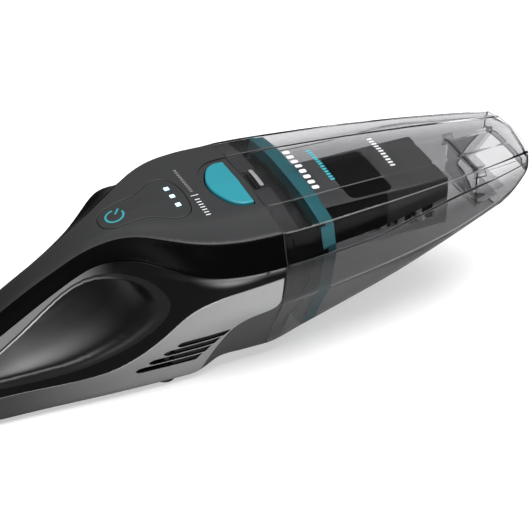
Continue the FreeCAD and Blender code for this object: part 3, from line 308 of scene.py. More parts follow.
def path(corners, spacing=1.0):
    """Open line through (x, y, radius) corners; both ends stay."""
    middle = [point for three in zip(corners, corners[1:], corners[2:]) for point in cut_corner(*three)]
    return resample([corners[0][:2], *middle, corners[-1][:2]], spacing, closed=False)


def box(x0, x1, y0, y1, radius, spacing):
    """Rounded rectangle."""
    return rounded([(x0, y0, radius), (x1, y0, radius), (x1, y1, radius), (x0, y1, radius)], spacing)


def catmull(a, b, c, d, steps):
    """Points from b up to c on the smooth curve through four points."""
    return [0.5 * (2 * b + (c - a) * t + (2 * a - 5 * b + 4 * c - d) * t**2 + (3 * b - a - 3 * c + d) * t**3)
            for t in np.linspace(0, 1, steps, endpoint=False)]


def smooth_loop(points, steps):
    """Closed smooth curve with the same number of steps between every two of its points."""
    p = np.array(points, float)
    count = len(p)
    return np.array([point for i in range(count)
                     for point in catmull(p[i - 1], p[i], p[(i + 1) % count], p[(i + 2) % count], steps)])


def ribbon(x, low, high):
    """Outline between two arc lengths along the stations x."""
    return np.vstack([columns_of(x, low), columns_of(x, high)[::-1]])


def area(loop):
    """Signed area of a closed outline."""
    x, y = loop[:, 0], loop[:, 1]
    return 0.5 * np.sum(x * np.roll(y, -1) - np.roll(x, -1) * y)


def facing(loop, positive=True):
    """The loop, turned so that its area has the asked sign."""
    return loop if (area(loop) > 0) == positive else loop[::-1]


def inside(points, loop):
    """Which points lie inside a closed outline."""
    x, y = points[:, 0], points[:, 1]
    hit = np.zeros(len(points), bool)
    for (ax, ay), (bx, by) in zip(loop, np.roll(loop, -1, axis=0)):
        if ay != by:
            cross = (ay > y) != (by > y)
            hit ^= cross & (x < (bx - ax) * (y - ay) / (by - ay) + ax)
    return hit


def outward(loop, surface):
    """Unit directions in space that leave the material across the edge of a loop, and the same in the plane."""
    step = 0.05
    tangent = np.roll(loop, -1, axis=0) - np.roll(loop, 1, axis=0)
    side = unit(columns_of(tangent[:, 1], -tangent[:, 0]))
    p0, n = surface(loop)
    jx = (surface(loop + [step, 0])[0] - p0) / step
    ja = (surface(loop + [0, step])[0] - p0) / step
    t3 = jx * tangent[:, :1] + ja * tangent[:, 1:]
    w = np.cross(t3, n)
    sign = np.sign(np.sum(w * (jx * side[:, :1] + ja * side[:, 1:]), axis=1, keepdims=True))
    w = unit(w) * sign
    # plane move that gives w: solve the 2 by 2 normal equations
    a11, a12, a22 = (jx * jx).sum(1), (jx * ja).sum(1), (ja * ja).sum(1)
    b1, b2 = (jx * w).sum(1), (ja * w).sum(1)
    det = np.maximum(a11 * a22 - a12**2, 1e-9)
    flat = columns_of((a22 * b1 - a12 * b2) / det, (a11 * b2 - a12 * b1) / det)
    return w, flat


def shift(loop, surface, distance):
    """Moves a loop across its edge by a distance in millimetres, positive out of the material."""
    return loop + outward(loop, surface)[1] * distance


# ---- Meshes ----


def new_mesh(name, points, faces, material, normals=None, smooth=True):
    """Object from points in millimetres."""
    mesh = bpy.data.meshes.new(name)
    mesh.from_pydata([tuple(p) for p in np.asarray(points) * MM], [], [tuple(int(i) for i in f) for f in faces])
    mesh.polygons.foreach_set("use_smooth", [smooth] * len(mesh.polygons))
    mesh.update()
    if normals is not None:
        mesh.normals_split_custom_set_from_vertices([tuple(n) for n in np.asarray(normals)])
    item = bpy.data.objects.new(name, mesh)
    bpy.context.scene.collection.objects.link(item)
    if material:
        mesh.materials.append(material)
    return item


def flipped(faces):
    """The faces, turned over."""
    return [tuple(reversed(face)) for face in faces]


def agreeing(faces, points, normals, probe=0):
    """The faces, all turned over if one of them looks against its normal."""
    a, b, c = (points[i] for i in faces[probe][:3])
    return flipped(faces) if np.dot(np.cross(b - a, c - a), normals[faces[probe][0]]) < 0 else faces


def ring_faces(upper, lower, count):
    """Quads between two closed rings, given by the numbers of their first points."""
    return [(upper + j, lower + j, lower + (j + 1) % count, upper + (j + 1) % count) for j in range(count)]


def grid_faces(rows, columns, around=True, first=0):
    """Quads of a grid of points, whose rows may close on themselves."""
    return [(row + j, row + columns + j, row + columns + (j + 1) % columns, row + (j + 1) % columns)
            for row in range(first, first + (rows - 1) * columns, columns)
            for j in range(columns if around else columns - 1)]


def grid_normals(grid):
    """Normals of a grid of points [row, column] whose rows are closed."""
    return unit(np.cross(np.gradient(grid, axis=0), np.roll(grid, -1, axis=1) - np.roll(grid, 1, axis=1)))


def finish_piece(item, body, node):
    """Puts a piece, already carrying its finish, on its body and hides the CAD node it stands for, if any."""
    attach(item, body)
    if node:
        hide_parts(node)


def fill(outer, holes, spacing):
    """Points and triangles that fill an outline, with the outlines' own points first."""
    loops = [outer] + list(holes)
    points = list(outer)
    edges = []
    start = 0
    for loop in loops:
        count = len(loop)
        edges += [(start + i, start + (i + 1) % count) for i in range(count)]
        if start:
            points += list(loop)
        start += count
    low, high = outer.min(0), outer.max(0)
    gx, gy = np.meshgrid(np.arange(low[0], high[0], spacing),
                         np.arange(low[1], high[1], spacing * 0.866))
    gx = gx + (np.arange(gx.shape[0]) % 2)[:, None] * spacing / 2
    grid = columns_of(gx.ravel(), gy.ravel())
    keep = inside(grid, outer)
    for hole in holes:
        keep &= ~inside(grid, hole)
    grid = grid[keep]
    border = np.vstack(loops)
    if len(grid):
        near = np.full(len(grid), True)
        for chunk in range(0, len(grid), 2000):
            d = np.linalg.norm(grid[chunk:chunk + 2000, None] - border[None], axis=2).min(1)
            near[chunk:chunk + 2000] = d > 0.55 * spacing
        grid = grid[near]
    everything = np.vstack([np.array(points), grid])
    result = delaunay_2d_cdt([Vector(p) for p in everything], edges, [], 0, 1e-5)
    verts = np.array([tuple(v) for v in result[0]])
    faces = np.array([f for f in result[2] if len(f) == 3])
    middle = verts[faces].mean(axis=1)
    keep = inside(middle, outer)
    for hole in holes:
        keep &= ~inside(middle, hole)
    faces = faces[keep]
    # every original loop point has to keep its place
    first = {}
    for new, origins in enumerate(result[3]):
        for origin in origins:
            first[origin] = new
    order = [first[i] for i in range(len(border))]
    return verts, faces, order


def panel(name, surface, outer, holes, material, depth=0.1, roll=0.0, gap=0.0, spacing=2.5, lift=0.0,
          mirror=False, hole_gap=None, roll_steps=4, hole_roll=None, rim_look=None):
    """Closed solid panel lying in a surface, with rolled edges; loops are in the surface's own coordinates.

    The walls of its holes take the finish rim_look, if there is one.
    """
    loops = [facing(outer, True)] + [facing(hole, False) for hole in holes]
    gaps = [gap] + [gap if hole_gap is None else hole_gap] * len(holes)
    rolls = [roll] + [roll if hole_roll is None else hole_roll] * len(holes)
    edges = [shift(loop, surface, -g) if g else loop for loop, g in zip(loops, gaps)]
    inner = [shift(loop, surface, -r) if r else loop for loop, r in zip(edges, rolls)]
    verts, faces, order = fill(inner[0], inner[1:], spacing)
    base, n = surface(verts)
    points = [base + n * lift]
    normals = [n]
    out_faces = [tuple(f) for f in faces]
    flat_count = len(verts)
    # underside
    points.append(base + n * (lift - depth))
    normals.append(-n)
    out_faces += [(f[0] + flat_count, f[2] + flat_count, f[1] + flat_count) for f in faces]
    total = 2 * flat_count
    start = 0
    rim_from = None
    for loop, edge, round_off in zip(inner, edges, rolls):
        if start and rim_from is None:
            rim_from = len(out_faces)
        count = len(loop)
        ring = np.array(order[start:start + count])
        start += count
        w = outward(loop, surface)[0]
        rows = [ring]
        for k in range(1, roll_steps + 1 if round_off else 1):
            angle = math.pi / 2 * k / roll_steps
            q = loop + (edge - loop) * math.sin(angle)
            p, m = surface(q)
            points.append(p + m * (lift - round_off * (1 - math.cos(angle))))
            normals.append(m * math.cos(angle) + w * math.sin(angle))
            rows.append(np.arange(total, total + count))
            total += count
        p, m = surface(edge)
        points.append(p + m * (lift - depth))
        normals.append(w)
        rows.append(np.arange(total, total + count))
        total += count
        rows.append(ring + flat_count)
        out_faces += [(upper[i], lower[i], lower[(i + 1) % count], upper[(i + 1) % count])
                      for upper, lower in zip(rows, rows[1:]) for i in range(count)]
    points = np.vstack(points)
    normals = unit(np.vstack(normals))
    if mirror:
        points, normals = points * MIRROR, normals * MIRROR
    out_faces = agreeing(out_faces, points, normals)
    item = new_mesh(name, points, out_faces, material, normals)
    if rim_look and rim_from is not None:
        item.data.materials.append(rim_look)
        item.data.polygons.foreach_set("material_index", [int(i >= rim_from) for i in range(len(out_faces))])
    return item


# ---- Materials ----


def start_material(name):
    """A new node material and its main shader."""
    mat = bpy.data.materials.new(name)
    mat.use_nodes = True
    return mat, mat.node_tree.nodes["Principled BSDF"]


def add(mat, kind, source=None, to=None, **values):
    """New node with some of its inputs set, and one of them fed from a source; _ stands for a space."""
    node = mat.node_tree.nodes.new("ShaderNode" + kind)
    for name, value in values.items():
        node.inputs[name.replace("_", " ")].default_value = value
    if source:
        mat.node_tree.links.new(source, node.inputs[to])
    return node


def put(mat, shader, **values):
    """Sets inputs of a shader to numbers, or feeds them from other nodes' outputs."""
    for name, value in values.items():
        socket = shader.inputs[name.replace("_", " ")]
        if isinstance(value, bpy.types.NodeSocket):
            mat.node_tree.links.new(value, socket)
        else:
            socket.default_value = value


def ramp(mat, source, low=0.0, high=1.0, to_low=0.0, to_high=1.0, kind="SMOOTHSTEP"):
    """Output that runs between two values while the source runs between two others."""
    node = add(mat, "MapRange", source, "Value", From_Min=low, From_Max=high, To_Min=to_low, To_Max=to_high)
    node.interpolation_type = kind
    return node.outputs["Result"]


def mix(mat, share, first, second):
    """Output that goes from one colour to another; each is a colour or another node's output."""
    node = add(mat, "MixRGB", share, "Fac")
    put(mat, node, Color1=first if isinstance(first, bpy.types.NodeSocket) else (*first, 1), Color2=(*second, 1))
    return node.outputs["Color"]


def place_on(mat):
    """Output with the position on the object, in metres."""
    return add(mat, "TexCoord").outputs["Object"]


def scaled(colour, factor):
    """A colour made darker or lighter."""
    return [min(1.0, c * factor) for c in colour]


def material(name, colour, roughness, metallic=0.0, specular=0.5, grain=0.0, grain_size=0.5, mottle=0.08,
             emission=(1, 1, 1), strength=0.0):
    """Moulded or painted surface: fine grain in the bump, slow variation in colour and roughness."""
    mat, shader = start_material(name)
    place = place_on(mat)
    broad = add(mat, "TexNoise", place, "Vector", Scale=28.0, Detail=3.0).outputs["Fac"]
    put(mat, shader, Metallic=metallic, IOR=1.5, Specular_IOR_Level=specular, Emission_Color=(*emission, 1),
        Emission_Strength=strength,
        Base_Color=mix(mat, broad, scaled(colour, 1 - mottle), scaled(colour, 1 + mottle)),
        Roughness=ramp(mat, broad, to_low=roughness * 0.88, to_high=min(1.0, roughness * 1.12), kind="LINEAR"))
    if grain:
        fine = add(mat, "TexNoise", place, "Vector", Scale=1000.0 / grain_size, Detail=2.0)
        bump = add(mat, "Bump", fine.outputs["Fac"], "Height", Strength=grain, Distance=0.00006)
        put(mat, shader, Normal=bump.outputs["Normal"])
    return mat


COVER = material("cover_grey", (0.031, 0.0315, 0.0325), 0.46, metallic=0.2, specular=0.2, grain=0.25, mottle=0.06)
KEY = material("key_grey", (0.028, 0.0285, 0.0295), 0.44, metallic=0.2, specular=0.3, grain=0.25, mottle=0.05)
BAND = material("band_black", (0.0012, 0.0012, 0.0013), 0.42, specular=0.02, mottle=0.1)
GLOSS = material("gloss_black", (0.0015, 0.0015, 0.0016), 0.22, specular=0.1, mottle=0.1)
LINING = material("lining_black", (0.002, 0.002, 0.0021), 0.38, specular=0.3, grain=0.3, grain_size=0.6, mottle=0.1)
SILVER = material("panel_silver", (0.25, 0.252, 0.256), 0.36, metallic=0.85, grain=0.2, grain_size=0.35, mottle=0.05)
LOWER = material("lower_grey", (0.055, 0.056, 0.058), 0.36, metallic=0.3, grain=0.25, mottle=0.06)
TEAL = material("button_teal", (0.018, 0.19, 0.235), 0.36, specular=0.35, grain=0.15, mottle=0.05, grain_size=0.4)
RING_TEAL = material("ring_teal", (0.022, 0.135, 0.16), 0.3, specular=0.4)
SYMBOL = material("symbol_teal", (0.02, 0.22, 0.25), 0.4, emission=(0.02, 0.35, 0.42), strength=0.06, mottle=0.0)
LIGHT = material("light_lens", (0.55, 0.9, 1.0), 0.3, emission=(0.45, 0.85, 1.0), strength=1.6, mottle=0.0)
PRINT = material("print_pale", (0.62, 0.63, 0.64), 0.5, mottle=0.04)
PRINT_DIM = material("print_dim", (0.2, 0.2, 0.205), 0.5, mottle=0.04)
LID = material("cage_lid", (0.066, 0.066, 0.067), 0.34, specular=0.4, grain=0.2, mottle=0.06)
PRINT_TEAL = material("print_teal", (0.02, 0.38, 0.45), 0.5, mottle=0.04)
INNER = material("inner_black", (0.010, 0.010, 0.0105), 0.5, grain=0.3)
NECK = material("neck_grey", (0.04, 0.04, 0.042), 0.4, grain=0.3)
CAGE = material("cage_black", (0.012, 0.012, 0.013), 0.3, grain=0.2)
SHADE = material("cage_shade", (0.010, 0.010, 0.0105), 0.35, grain=0.2)
RUBBER = material("rubber", (0.02, 0.02, 0.02), 0.75, grain=0.5, grain_size=0.4, mottle=0.12)
STEEL = material("steel", (0.5, 0.5, 0.5), 0.28, metallic=1.0, grain=0.15, grain_size=0.3, mottle=0.06)
PAPER = material("filter_paper", (0.022, 0.022, 0.023), 0.85, grain=0.6, mottle=0.06)
FOAM = material("foam", (0.006, 0.006, 0.006), 0.95, grain=1.0, grain_size=1.2, mottle=0.25)
COPPER = material("copper", (0.6, 0.27, 0.12), 0.35, metallic=1.0, grain=0.4, mottle=0.15)
BOARD = material("board_green", (0.01, 0.10, 0.04), 0.35, grain=0.2, mottle=0.15, grain_size=0.4)
CELL = material("cell_wrap", (0.03, 0.12, 0.35), 0.3)
WHITE = material("moulded_white", (0.62, 0.62, 0.60), 0.42, grain=0.2, mottle=0.05, grain_size=0.4)
LEAD_RED = material("lead_red", (0.35, 0.02, 0.02), 0.45, mottle=0.1)
# Painted highlight (pale) and painted shade (dark) for thin strips along the clear container's edges and creases.
EDGE_HIGHLIGHT_PAINT = material("painted_edge_highlight", (0.17, 0.17, 0.172), 0.3, mottle=0.1)
EDGE_SHADE_PAINT = material("painted_edge_shade", (0.008, 0.008, 0.008), 0.3, mottle=0.1)
LEAD_BLACK = material("lead_black", (0.02, 0.02, 0.02), 0.45, mottle=0.1)


def fade_along(mat, front, back, start, stop, axis="X"):
    """Recolours a finish so that it runs from one shade to another along the machine, or up it."""
    origin = SEAM_X if axis == "X" else 0.0
    split = add(mat, "SeparateXYZ", place_on(mat), "Vector")
    share = ramp(mat, split.outputs[axis], (start + origin) * MM, (stop + origin) * MM)
    tint = mat.node_tree.nodes["Principled BSDF"].inputs["Base Color"].links[0].from_node
    put(mat, tint, Color1=mix(mat, share, scaled(back, 0.95), scaled(front, 0.95)),
        Color2=mix(mat, share, scaled(back, 1.05), scaled(front, 1.05)))


fade_along(CAGE, (0.012, 0.012, 0.013), (0.34, 0.34, 0.345), 82, 92, axis="Z")
# Painted shade: the cover darkens towards the back of the handle.
fade_along(COVER, (0.031, 0.0315, 0.0325), (0.013, 0.013, 0.0135), -185, -80)
# Painted light and shade: the silver panels run from a painted bright front to painted shade at the back.
fade_along(SILVER, (0.64, 0.643, 0.65), (0.07, 0.07, 0.072), -190, 0)


def paint_light_over(mat, pale):
    """Paints light into a finish: each point's own painted-light value turns its colour paler, towards the given
    pale colour.
    """
    share = add(mat, "Attribute")
    share.attribute_name = "painted_light"
    shader = mat.node_tree.nodes["Principled BSDF"]
    colour = shader.inputs["Base Color"].links[0].from_socket
    put(mat, shader, Base_Color=mix(mat, share.outputs["Fac"], colour, pale))


def set_painted_light(item, amount):
    """Stores the painted light of every point, from a function of stations, half widths and heights."""
    points = np.empty(len(item.data.vertices) * 3)
    item.data.vertices.foreach_get("co", points)
    x, y, z = points.reshape(-1, 3).T / MM
    layer = item.data.attributes.new("painted_light", "FLOAT", "POINT")
    layer.data.foreach_set("value", np.clip(amount(x - SEAM_X, np.abs(y), z), 0, 1))


def ease(value, low, high):
    """Smooth step from 0 at low to 1 at high."""
    t = np.clip((value - low) / (high - low), 0, 1)
    return t * t * (3 - 2 * t)


FLANK = material("flank_black", (0.0015, 0.0015, 0.0016), 0.3, specular=0.12, mottle=0.1)
# Painted highlights and painted light: the flank turns paler where the bead under the band and the roll would catch
# the light, and the lining of the hand opening where it would be lit.
paint_light_over(FLANK, (0.30, 0.30, 0.305))
paint_light_over(LINING, (0.62, 0.62, 0.622))


HAZE_LOW, HAZE_HIGH = 0.082, 0.0925        # heights between which the haze of the lower side ends, in metres


def clear_material(name, top, bottom, low, high, roughness, ior, veil=0.0):
    """Smoke-tinted clear plastic whose tint deepens from one height to another, and along its thick edges."""
    mat, shader = start_material(name)
    place = place_on(mat)
    height = add(mat, "SeparateXYZ", place, "Vector").outputs["Z"]
    tint = mix(mat, ramp(mat, height, low * MM, high * MM), bottom, top)
    slant = ramp(mat, add(mat, "LayerWeight", Blend=0.5).outputs["Facing"], 0.72)
    cloud = add(mat, "TexNoise", place, "Vector", Scale=60.0).outputs["Fac"]
    put(mat, shader, IOR=ior, Base_Color=mix(mat, slant, tint, (0.03, 0.03, 0.03)),
        Roughness=ramp(mat, cloud, to_low=roughness * 0.6, to_high=roughness * 1.4, kind="LINEAR"),
        Transmission_Weight=ramp(mat, height, HAZE_LOW, HAZE_HIGH, 1.0 - veil) if veil else 1.0)
    return mat


CLEAR = clear_material("container_clear", (0.74, 0.74, 0.75), (0.31, 0.31, 0.315), 88, 109, 0.02, 1.22, veil=0.08)
DUCT_CLEAR = clear_material("duct_clear", (0.80, 0.80, 0.80), (0.62, 0.62, 0.63), 60, 112, 0.03, 1.15)
FLAP_CLEAR = clear_material("flap_smoke", (0.85, 0.85, 0.85), (0.72, 0.72, 0.72), 60, 112, 0.05, 1.2)

# ---- Housing shells ----

BAND_REAR = -224.0


def line(mark, x_from, x_to, spacing=1.2):
    """Feature line as (station, arc) points."""
    count = max(2, int(abs(x_to - x_from) / spacing))
    x = np.linspace(x_from, x_to, count)
    return columns_of(x, arc_at_mark(x, mark))


def across(x, a_from, a_to, spacing=1.2):
    """Straight run across the length at one station."""
    count = max(2, int(abs(a_to - a_from) / spacing))
    return columns_of(np.full(count, x), np.linspace(a_from, a_to, count))[1:-1]


FRONT = -0.1
ARCH_HALF = 31.0
# Arch-shaped recess round the release button: half widths against stations.
ARCH = [(0.5, ARCH_HALF), (-6.5, 31), (-12.8, 30.1), (-18.5, 27.3), (-23.4, 22.8), (-27.2, 16.5), (-29.4, 8.5),
        (-30.0, 2.5)]


def arch_line():
    """The recess edge from right to left."""
    points = np.array(ARCH + [(x, -y) for x, y in reversed(ARCH)])
    points = np.vstack([points[:1], points, points[-1:]])
    dense = [spot for i in range(1, len(points) - 2) for spot in catmull(*points[i - 1:i + 3], 8)]
    dense = resample(dense + [points[-1]], 1.0, closed=False)
    dense[:, 0] = np.minimum(dense[:, 0], FRONT)
    return dense


def plan_loop(points):
    """An outline seen from above, as (station, arc) points."""
    points = np.array(points)
    return columns_of(points[:, 0], arc_at_y(points[:, 0], -points[:, 1]))


def side_loop(points):
    """An outline seen from the side, as (station, arc) points."""
    points = np.array(points)
    return columns_of(points[:, 0], arc_at_z(points[:, 0], points[:, 1]))


KEY_POINTS = [(-99.2, 0), (-97.8, 6.0), (-92.5, 10.6), (-85.5, 11.6), (-78, 11.9), (-70.5, 13.6), (-63, 18.0),
              (-56.5, 21.8), (-50.5, 22.3), (-45.6, 19.4), (-42.8, 11.5), (-42, 0)]
KEY_LOOP = smooth_loop(KEY_POINTS + [(x, -y) for x, y in reversed(KEY_POINTS[1:-1])], 12)
KEY_LOOP = plan_loop(resample(KEY_LOOP, 0.9))

arch = arch_line()
cover_outline = np.vstack([
    line(T_B, FRONT, BAND_REAR), across(BAND_REAR, arc_at_mark(BAND_REAR, T_B), -arc_at_mark(BAND_REAR, T_B)),
    line(T_B, BAND_REAR, FRONT) * [1, -1],
    across(FRONT, -arc_at_mark(FRONT, T_B), arc_at_y(FRONT, -ARCH_HALF)[0]),
    plan_loop(arch[::-1]),
    across(FRONT, arc_at_y(FRONT, ARCH_HALF)[0], arc_at_mark(FRONT, T_B))])
cover = panel("top_cover_skin", skin, cover_outline, [KEY_LOOP], COVER, depth=2.4, roll=0.5, gap=0.15)
finish_piece(cover, "housing", "top_cover")
key = panel("control_key_skin", skin, KEY_LOOP, [], KEY, depth=2.2, roll=0.45, gap=0.22, spacing=1.8)
finish_piece(key, "key", "control_key")

BUTTON = [(-4.6, 25.6, 2.2), (-12.5, 25.8, 3.0), (-20.5, 20.6, 9.0), (-28.4, 0, 16.0), (-20.5, -20.6, 9.0),
          (-12.5, -25.8, 3.0), (-4.6, -25.6, 2.2)]
BUTTON_LOOP = plan_loop(rounded(BUTTON, 0.8))
bezel_outline = np.vstack([plan_loop(arch), across(FRONT, arc_at_y(FRONT, -ARCH_HALF)[0],
                                                   arc_at_y(FRONT, ARCH_HALF)[0])])
bezel = panel("button_recess", skin, bezel_outline, [BUTTON_LOOP], COVER, depth=1.8, roll=0.35, gap=0.05,
              hole_gap=-0.25, lift=-0.8, spacing=1.8, rim_look=GLOSS)
finish_piece(bezel, "housing", None)
button = panel("release_button_cap", skin, BUTTON_LOOP, [], TEAL, depth=5.0, roll=1.3, gap=0.75, spacing=1.5,
               lift=1.1, roll_steps=6)
finish_piece(button, "button", "release_button")

for side, name in SIDES:
    band_outline = np.vstack([line(T_B, FRONT, BAND_REAR), across(BAND_REAR, arc_at_mark(BAND_REAR, T_B),
                                                                  arc_at_mark(BAND_REAR, T_C)),
                              line(T_C, BAND_REAR, FRONT), across(FRONT, arc_at_mark(FRONT, T_C),
                                                                  arc_at_mark(FRONT, T_B))])
    band = panel("side_band_skin_" + name, skin, band_outline, [], BAND, depth=2.4, roll=0.45, gap=0.15,
                 mirror=side, spacing=2.2)
    finish_piece(band, "housing", "side_band_" + name)

# Silver side panel, from the side: (station, height, rounding) down its front edge, and along its upper edge.
PANEL_FRONT = [(-1.0, 84.2, 5), (-0.6, 62.5, 4), (-4.5, 56.5, 5), (-20, 51.6, 6), (-28.5, 44.5, 6),
               (-43.5, 13.5, 4), (-47.0, 6.5, 2), (-48.6, 3.2, 0)]
PANEL_TOP = [(-222, 14.2, 0), (-214, 18, 8), (-195, 23.4, 8), (-170, 25.4, 8), (-141, 25.6, 8), (-122, 26.5, 8),
             (-107, 29.8, 6), (-97, 34.6, 6), (-88, 40.6, 6), (-79, 48.2, 6), (-71, 56, 5), (-64, 63.2, 5),
             (-57, 69.2, 5), (-48, 74.2, 5), (-38, 78, 6), (-22, 81, 6), (-12, 82.6, 6), (-1.0, 84.2, 0)]
PANEL_REAR = -222.0
UNDERSIDE = 3.0
VENT_HALF = 2.5


def vent(i):
    """One exhaust slot: slanted front end, round back end."""
    z = (41.2, 35.4, 29.5, 23.6)[i]
    front = (-32.5, -38.4, -44.0, -49.6)[i]
    back = (-64.5, -73, -82, -90)[i]
    slot = [(front + 2.3, z + VENT_HALF, 0.8), (front - 1.9, z - VENT_HALF, 0.8),
            (back, z - VENT_HALF, 0.9 * VENT_HALF), (back - VENT_HALF, z, 0.7),
            (back, z + VENT_HALF, 0.9 * VENT_HALF)]
    return side_loop(rounded(slot, 0.7))


panel_top = side_loop(path(PANEL_TOP, 1.0))
panel_front = side_loop(path(PANEL_FRONT, 1.0))
below = np.linspace(panel_front[-1, 0], PANEL_REAR, 170)
panel_below = columns_of(below, arc_at_mark(below, T_K) + UNDERSIDE)
# the front edge runs round onto the underside where the lower edge starts
blend_in = np.clip((np.arange(len(panel_front)) - (len(panel_front) - 12)) / 11, 0, 1)
panel_front[:, 1] += blend_in * (panel_below[0, 1] - panel_front[-1, 1])
panel_loop = np.vstack([panel_top[:-1], panel_front[:-1], panel_below[:-1],
                        across(PANEL_REAR, panel_below[-1, 1], panel_top[0, 1])])
panel_loop = resample(panel_loop, 1.2)
VENTS = [vent(i) for i in range(4)]

# Hand opening: edge on the flank and outline at the centre plane, matched point by point (station, height).
RIM = [(-207, 30.5), (-188, 44.5), (-170, 56.5), (-148, 72.5), (-126, 88), (-108, 96), (-94, 97), (-81, 91.5),
       (-72, 78), (-76, 64), (-90, 50.5), (-107, 41), (-125, 34.8), (-147, 31.6), (-175, 30.5)]
CENTRE = [(-203, 31), (-188, 42.0), (-170, 54), (-148, 69.5), (-126, 84.5), (-108, 91.5), (-96, 91.5),
          (-88, 85), (-85.5, 74), (-91, 61.5), (-105, 47.5), (-125, 36.5), (-147, 30.4), (-175, 27.6),
          (-196, 27.6)]


rim_loop = side_loop(smooth_loop(RIM, 10))
centre_loop = smooth_loop(CENTRE, 10)


WALL_STEPS, WALL_DEPTH = 22, 2.0
PARTING, GROOVE = 0.12, 0.9         # half the gap between the two halves, and the groove along it


def opening_wall(name, mirror):
    """Wall of the hand opening: it leaves the flank smoothly and meets its twin at the centre plane."""
    start, n_start = skin(rim_loop)
    into = outward(rim_loop, skin)[0]
    # the direction that leaves the flank towards the opening
    middle = start.mean(axis=0)
    into = into * np.sign(np.sum(into * (middle - start), axis=1, keepdims=True))
    stop = columns_of(centre_loop[:, 0] + SEAM_X, np.full(len(centre_loop), -PARTING), centre_loop[:, 1])
    reach = np.linalg.norm(stop - start, axis=1, keepdims=True)
    one = start + into * reach * 0.32
    two = stop + np.array([0, -1.0, 0]) * reach * 0.45
    grid = np.array([(1 - t)**3 * start + 3 * t * (1 - t)**2 * one + 3 * t**2 * (1 - t) * two + t**3 * stop
                     for t in np.linspace(0, 1, WALL_STEPS)])
    n = grid_normals(grid)
    if np.sum(n[0] * n_start) < 0:
        n = -n
    n[0] = n_start
    n[1] = unit(n[1] + n_start)
    # parting groove, then back along the inside
    groove = grid[-1] - n[-1] * GROOVE
    under = grid[::-1] - n[::-1] * WALL_DEPTH
    under[:, :, 1] = np.minimum(under[:, :, 1], -PARTING)
    everything = np.vstack([grid, groove[None], under])
    side_face = np.tile(np.array([0, 1.0, 0]), (len(centre_loop), 1))
    normals = np.vstack([n, side_face[None], -n[::-1]])
    count, columns = everything.shape[:2]
    faces = grid_faces(count, columns) + ring_faces((count - 1) * columns, 0, columns)
    points, normals = everything.reshape(-1, 3), normals.reshape(-1, 3)
    faces = agreeing(faces, points, normals, columns * 5)
    if mirror:
        points, normals, faces = points * MIRROR, normals * MIRROR, flipped(faces)
    item = new_mesh(name, points, faces, LINING, normals)
    # painted light on the lining: paler towards the back of the handle and towards the roof of the opening
    roof = np.array(RIM[:6])
    set_painted_light(item, lambda x, y, z: 1.15 * np.clip((-94 - x) / 62, 0, 1) ** 1.5
              * (0.6 + 0.4 * ease((z - 30) / (np.interp(x, roof[:, 0], roof[:, 1]) - 29), 0.0, 0.75)))
    # the painted light is left off the lower lip, which stays as dark as the flank it rolls in from
    row, column = np.divmod(np.arange(len(points)), columns)
    low = (column > 78) | (column < 4)
    layer = item.data.attributes["painted_light"]
    value = np.empty(len(points))
    layer.data.foreach_get("value", value)
    layer.data.foreach_set("value", value * np.where(low, ease(row, 7, 19), np.clip((row - 1.0) / 1.5, 0, 1)))
    return item


def flank_painted_highlight(x, y, z):
    """Painted highlight under the band: a pale stripe along the handle, and again in front on the roll."""
    below_belt = np.interp(x, STATIONS, belt_z) - z
    handle = 1 - ease(x, -128, -100)
    thick = 1.3 + 1.1 * ease(-x, 8, 40)
    roll = ease(x, -62, -34) * np.exp(-((below_belt - 2.6 - 1.4 * ease(-x, 8, 40)) / thick) ** 2)
    return 0.42 * handle * (1 - ease(below_belt, 6.5, 10)) + roll


flank_outline = np.vstack([line(T_C, FRONT, PANEL_REAR)[:-1],
                           across(PANEL_REAR, arc_at_mark(PANEL_REAR, T_C), panel_top[0, 1]), panel_top[:-1],
                           [[FRONT, panel_top[-1, 1]]],
                           across(FRONT, panel_top[-1, 1], arc_at_mark(FRONT, T_C))])
for side, name in SIDES:
    silver = panel("side_panel_skin_" + name, skin, panel_loop, VENTS, SILVER, depth=2.2, roll=0.7, gap=0.15,
                   hole_gap=0.0, hole_roll=0.0, mirror=side, spacing=2.2, rim_look=GLOSS)
    finish_piece(silver, "housing", "side_panel_" + name)
    flank = panel("flank_" + name, skin, flank_outline, [rim_loop], FLANK, depth=2.4, roll=0.45, gap=0.12,
                  hole_gap=0.0, hole_roll=0.0, mirror=side, spacing=1.6)
    # painted highlight on the flank, under the band and on the roll
    set_painted_light(flank, flank_painted_highlight)
    finish_piece(flank, "housing", "housing_" + name)
    wall = opening_wall("hand_opening_" + name, side)
    finish_piece(wall, "housing", None)

# Lower shell: in front it carries on from the side panels, behind it is the strip between them.
right_edge = np.vstack([panel_front[:-1], panel_below])
right_edge[:, 1] = full_arc(right_edge[:, 0]) - right_edge[:, 1]
right_edge = right_edge[right_edge[:, 0] <= FRONT - 0.3]
right_edge = right_edge[np.argmax(right_edge[:, 1] < right_edge[0, 1] - 18):]
start_b = full_arc(FRONT) - arc_at_z(FRONT, 61.0)[0]
right_edge = np.vstack([[[FRONT, start_b]], right_edge])
lower_outline = np.vstack([right_edge, across(PANEL_REAR, right_edge[-1, 1], -right_edge[-1, 1]),
                           (right_edge * [1, -1])[::-1], across(FRONT, -start_b, start_b)])
lower_shell = panel("lower_shell", skin_below, resample(lower_outline, 1.2), [], LOWER, depth=2.2, roll=0.5,
                    gap=0.15, spacing=2.6)
finish_piece(lower_shell, "housing", "lower_cover")

# Rear end: a dome that closes the shells round the charging socket.
SOCKET_Z, SOCKET_R = 18.5, 4.2
rear_stations = [PANEL_REAR, -223.6, -225.4, -227.0, -228.2, -228.9]


def whole_section(x):
    """Closed section at a station, from the top centre down the right side and up the left."""
    a = np.linspace(0, full_arc(x), 61)
    p = skin(columns_of(np.full(61, float(x)), a))[0]
    return np.vstack([p, p[1:-1][::-1] * MIRROR])


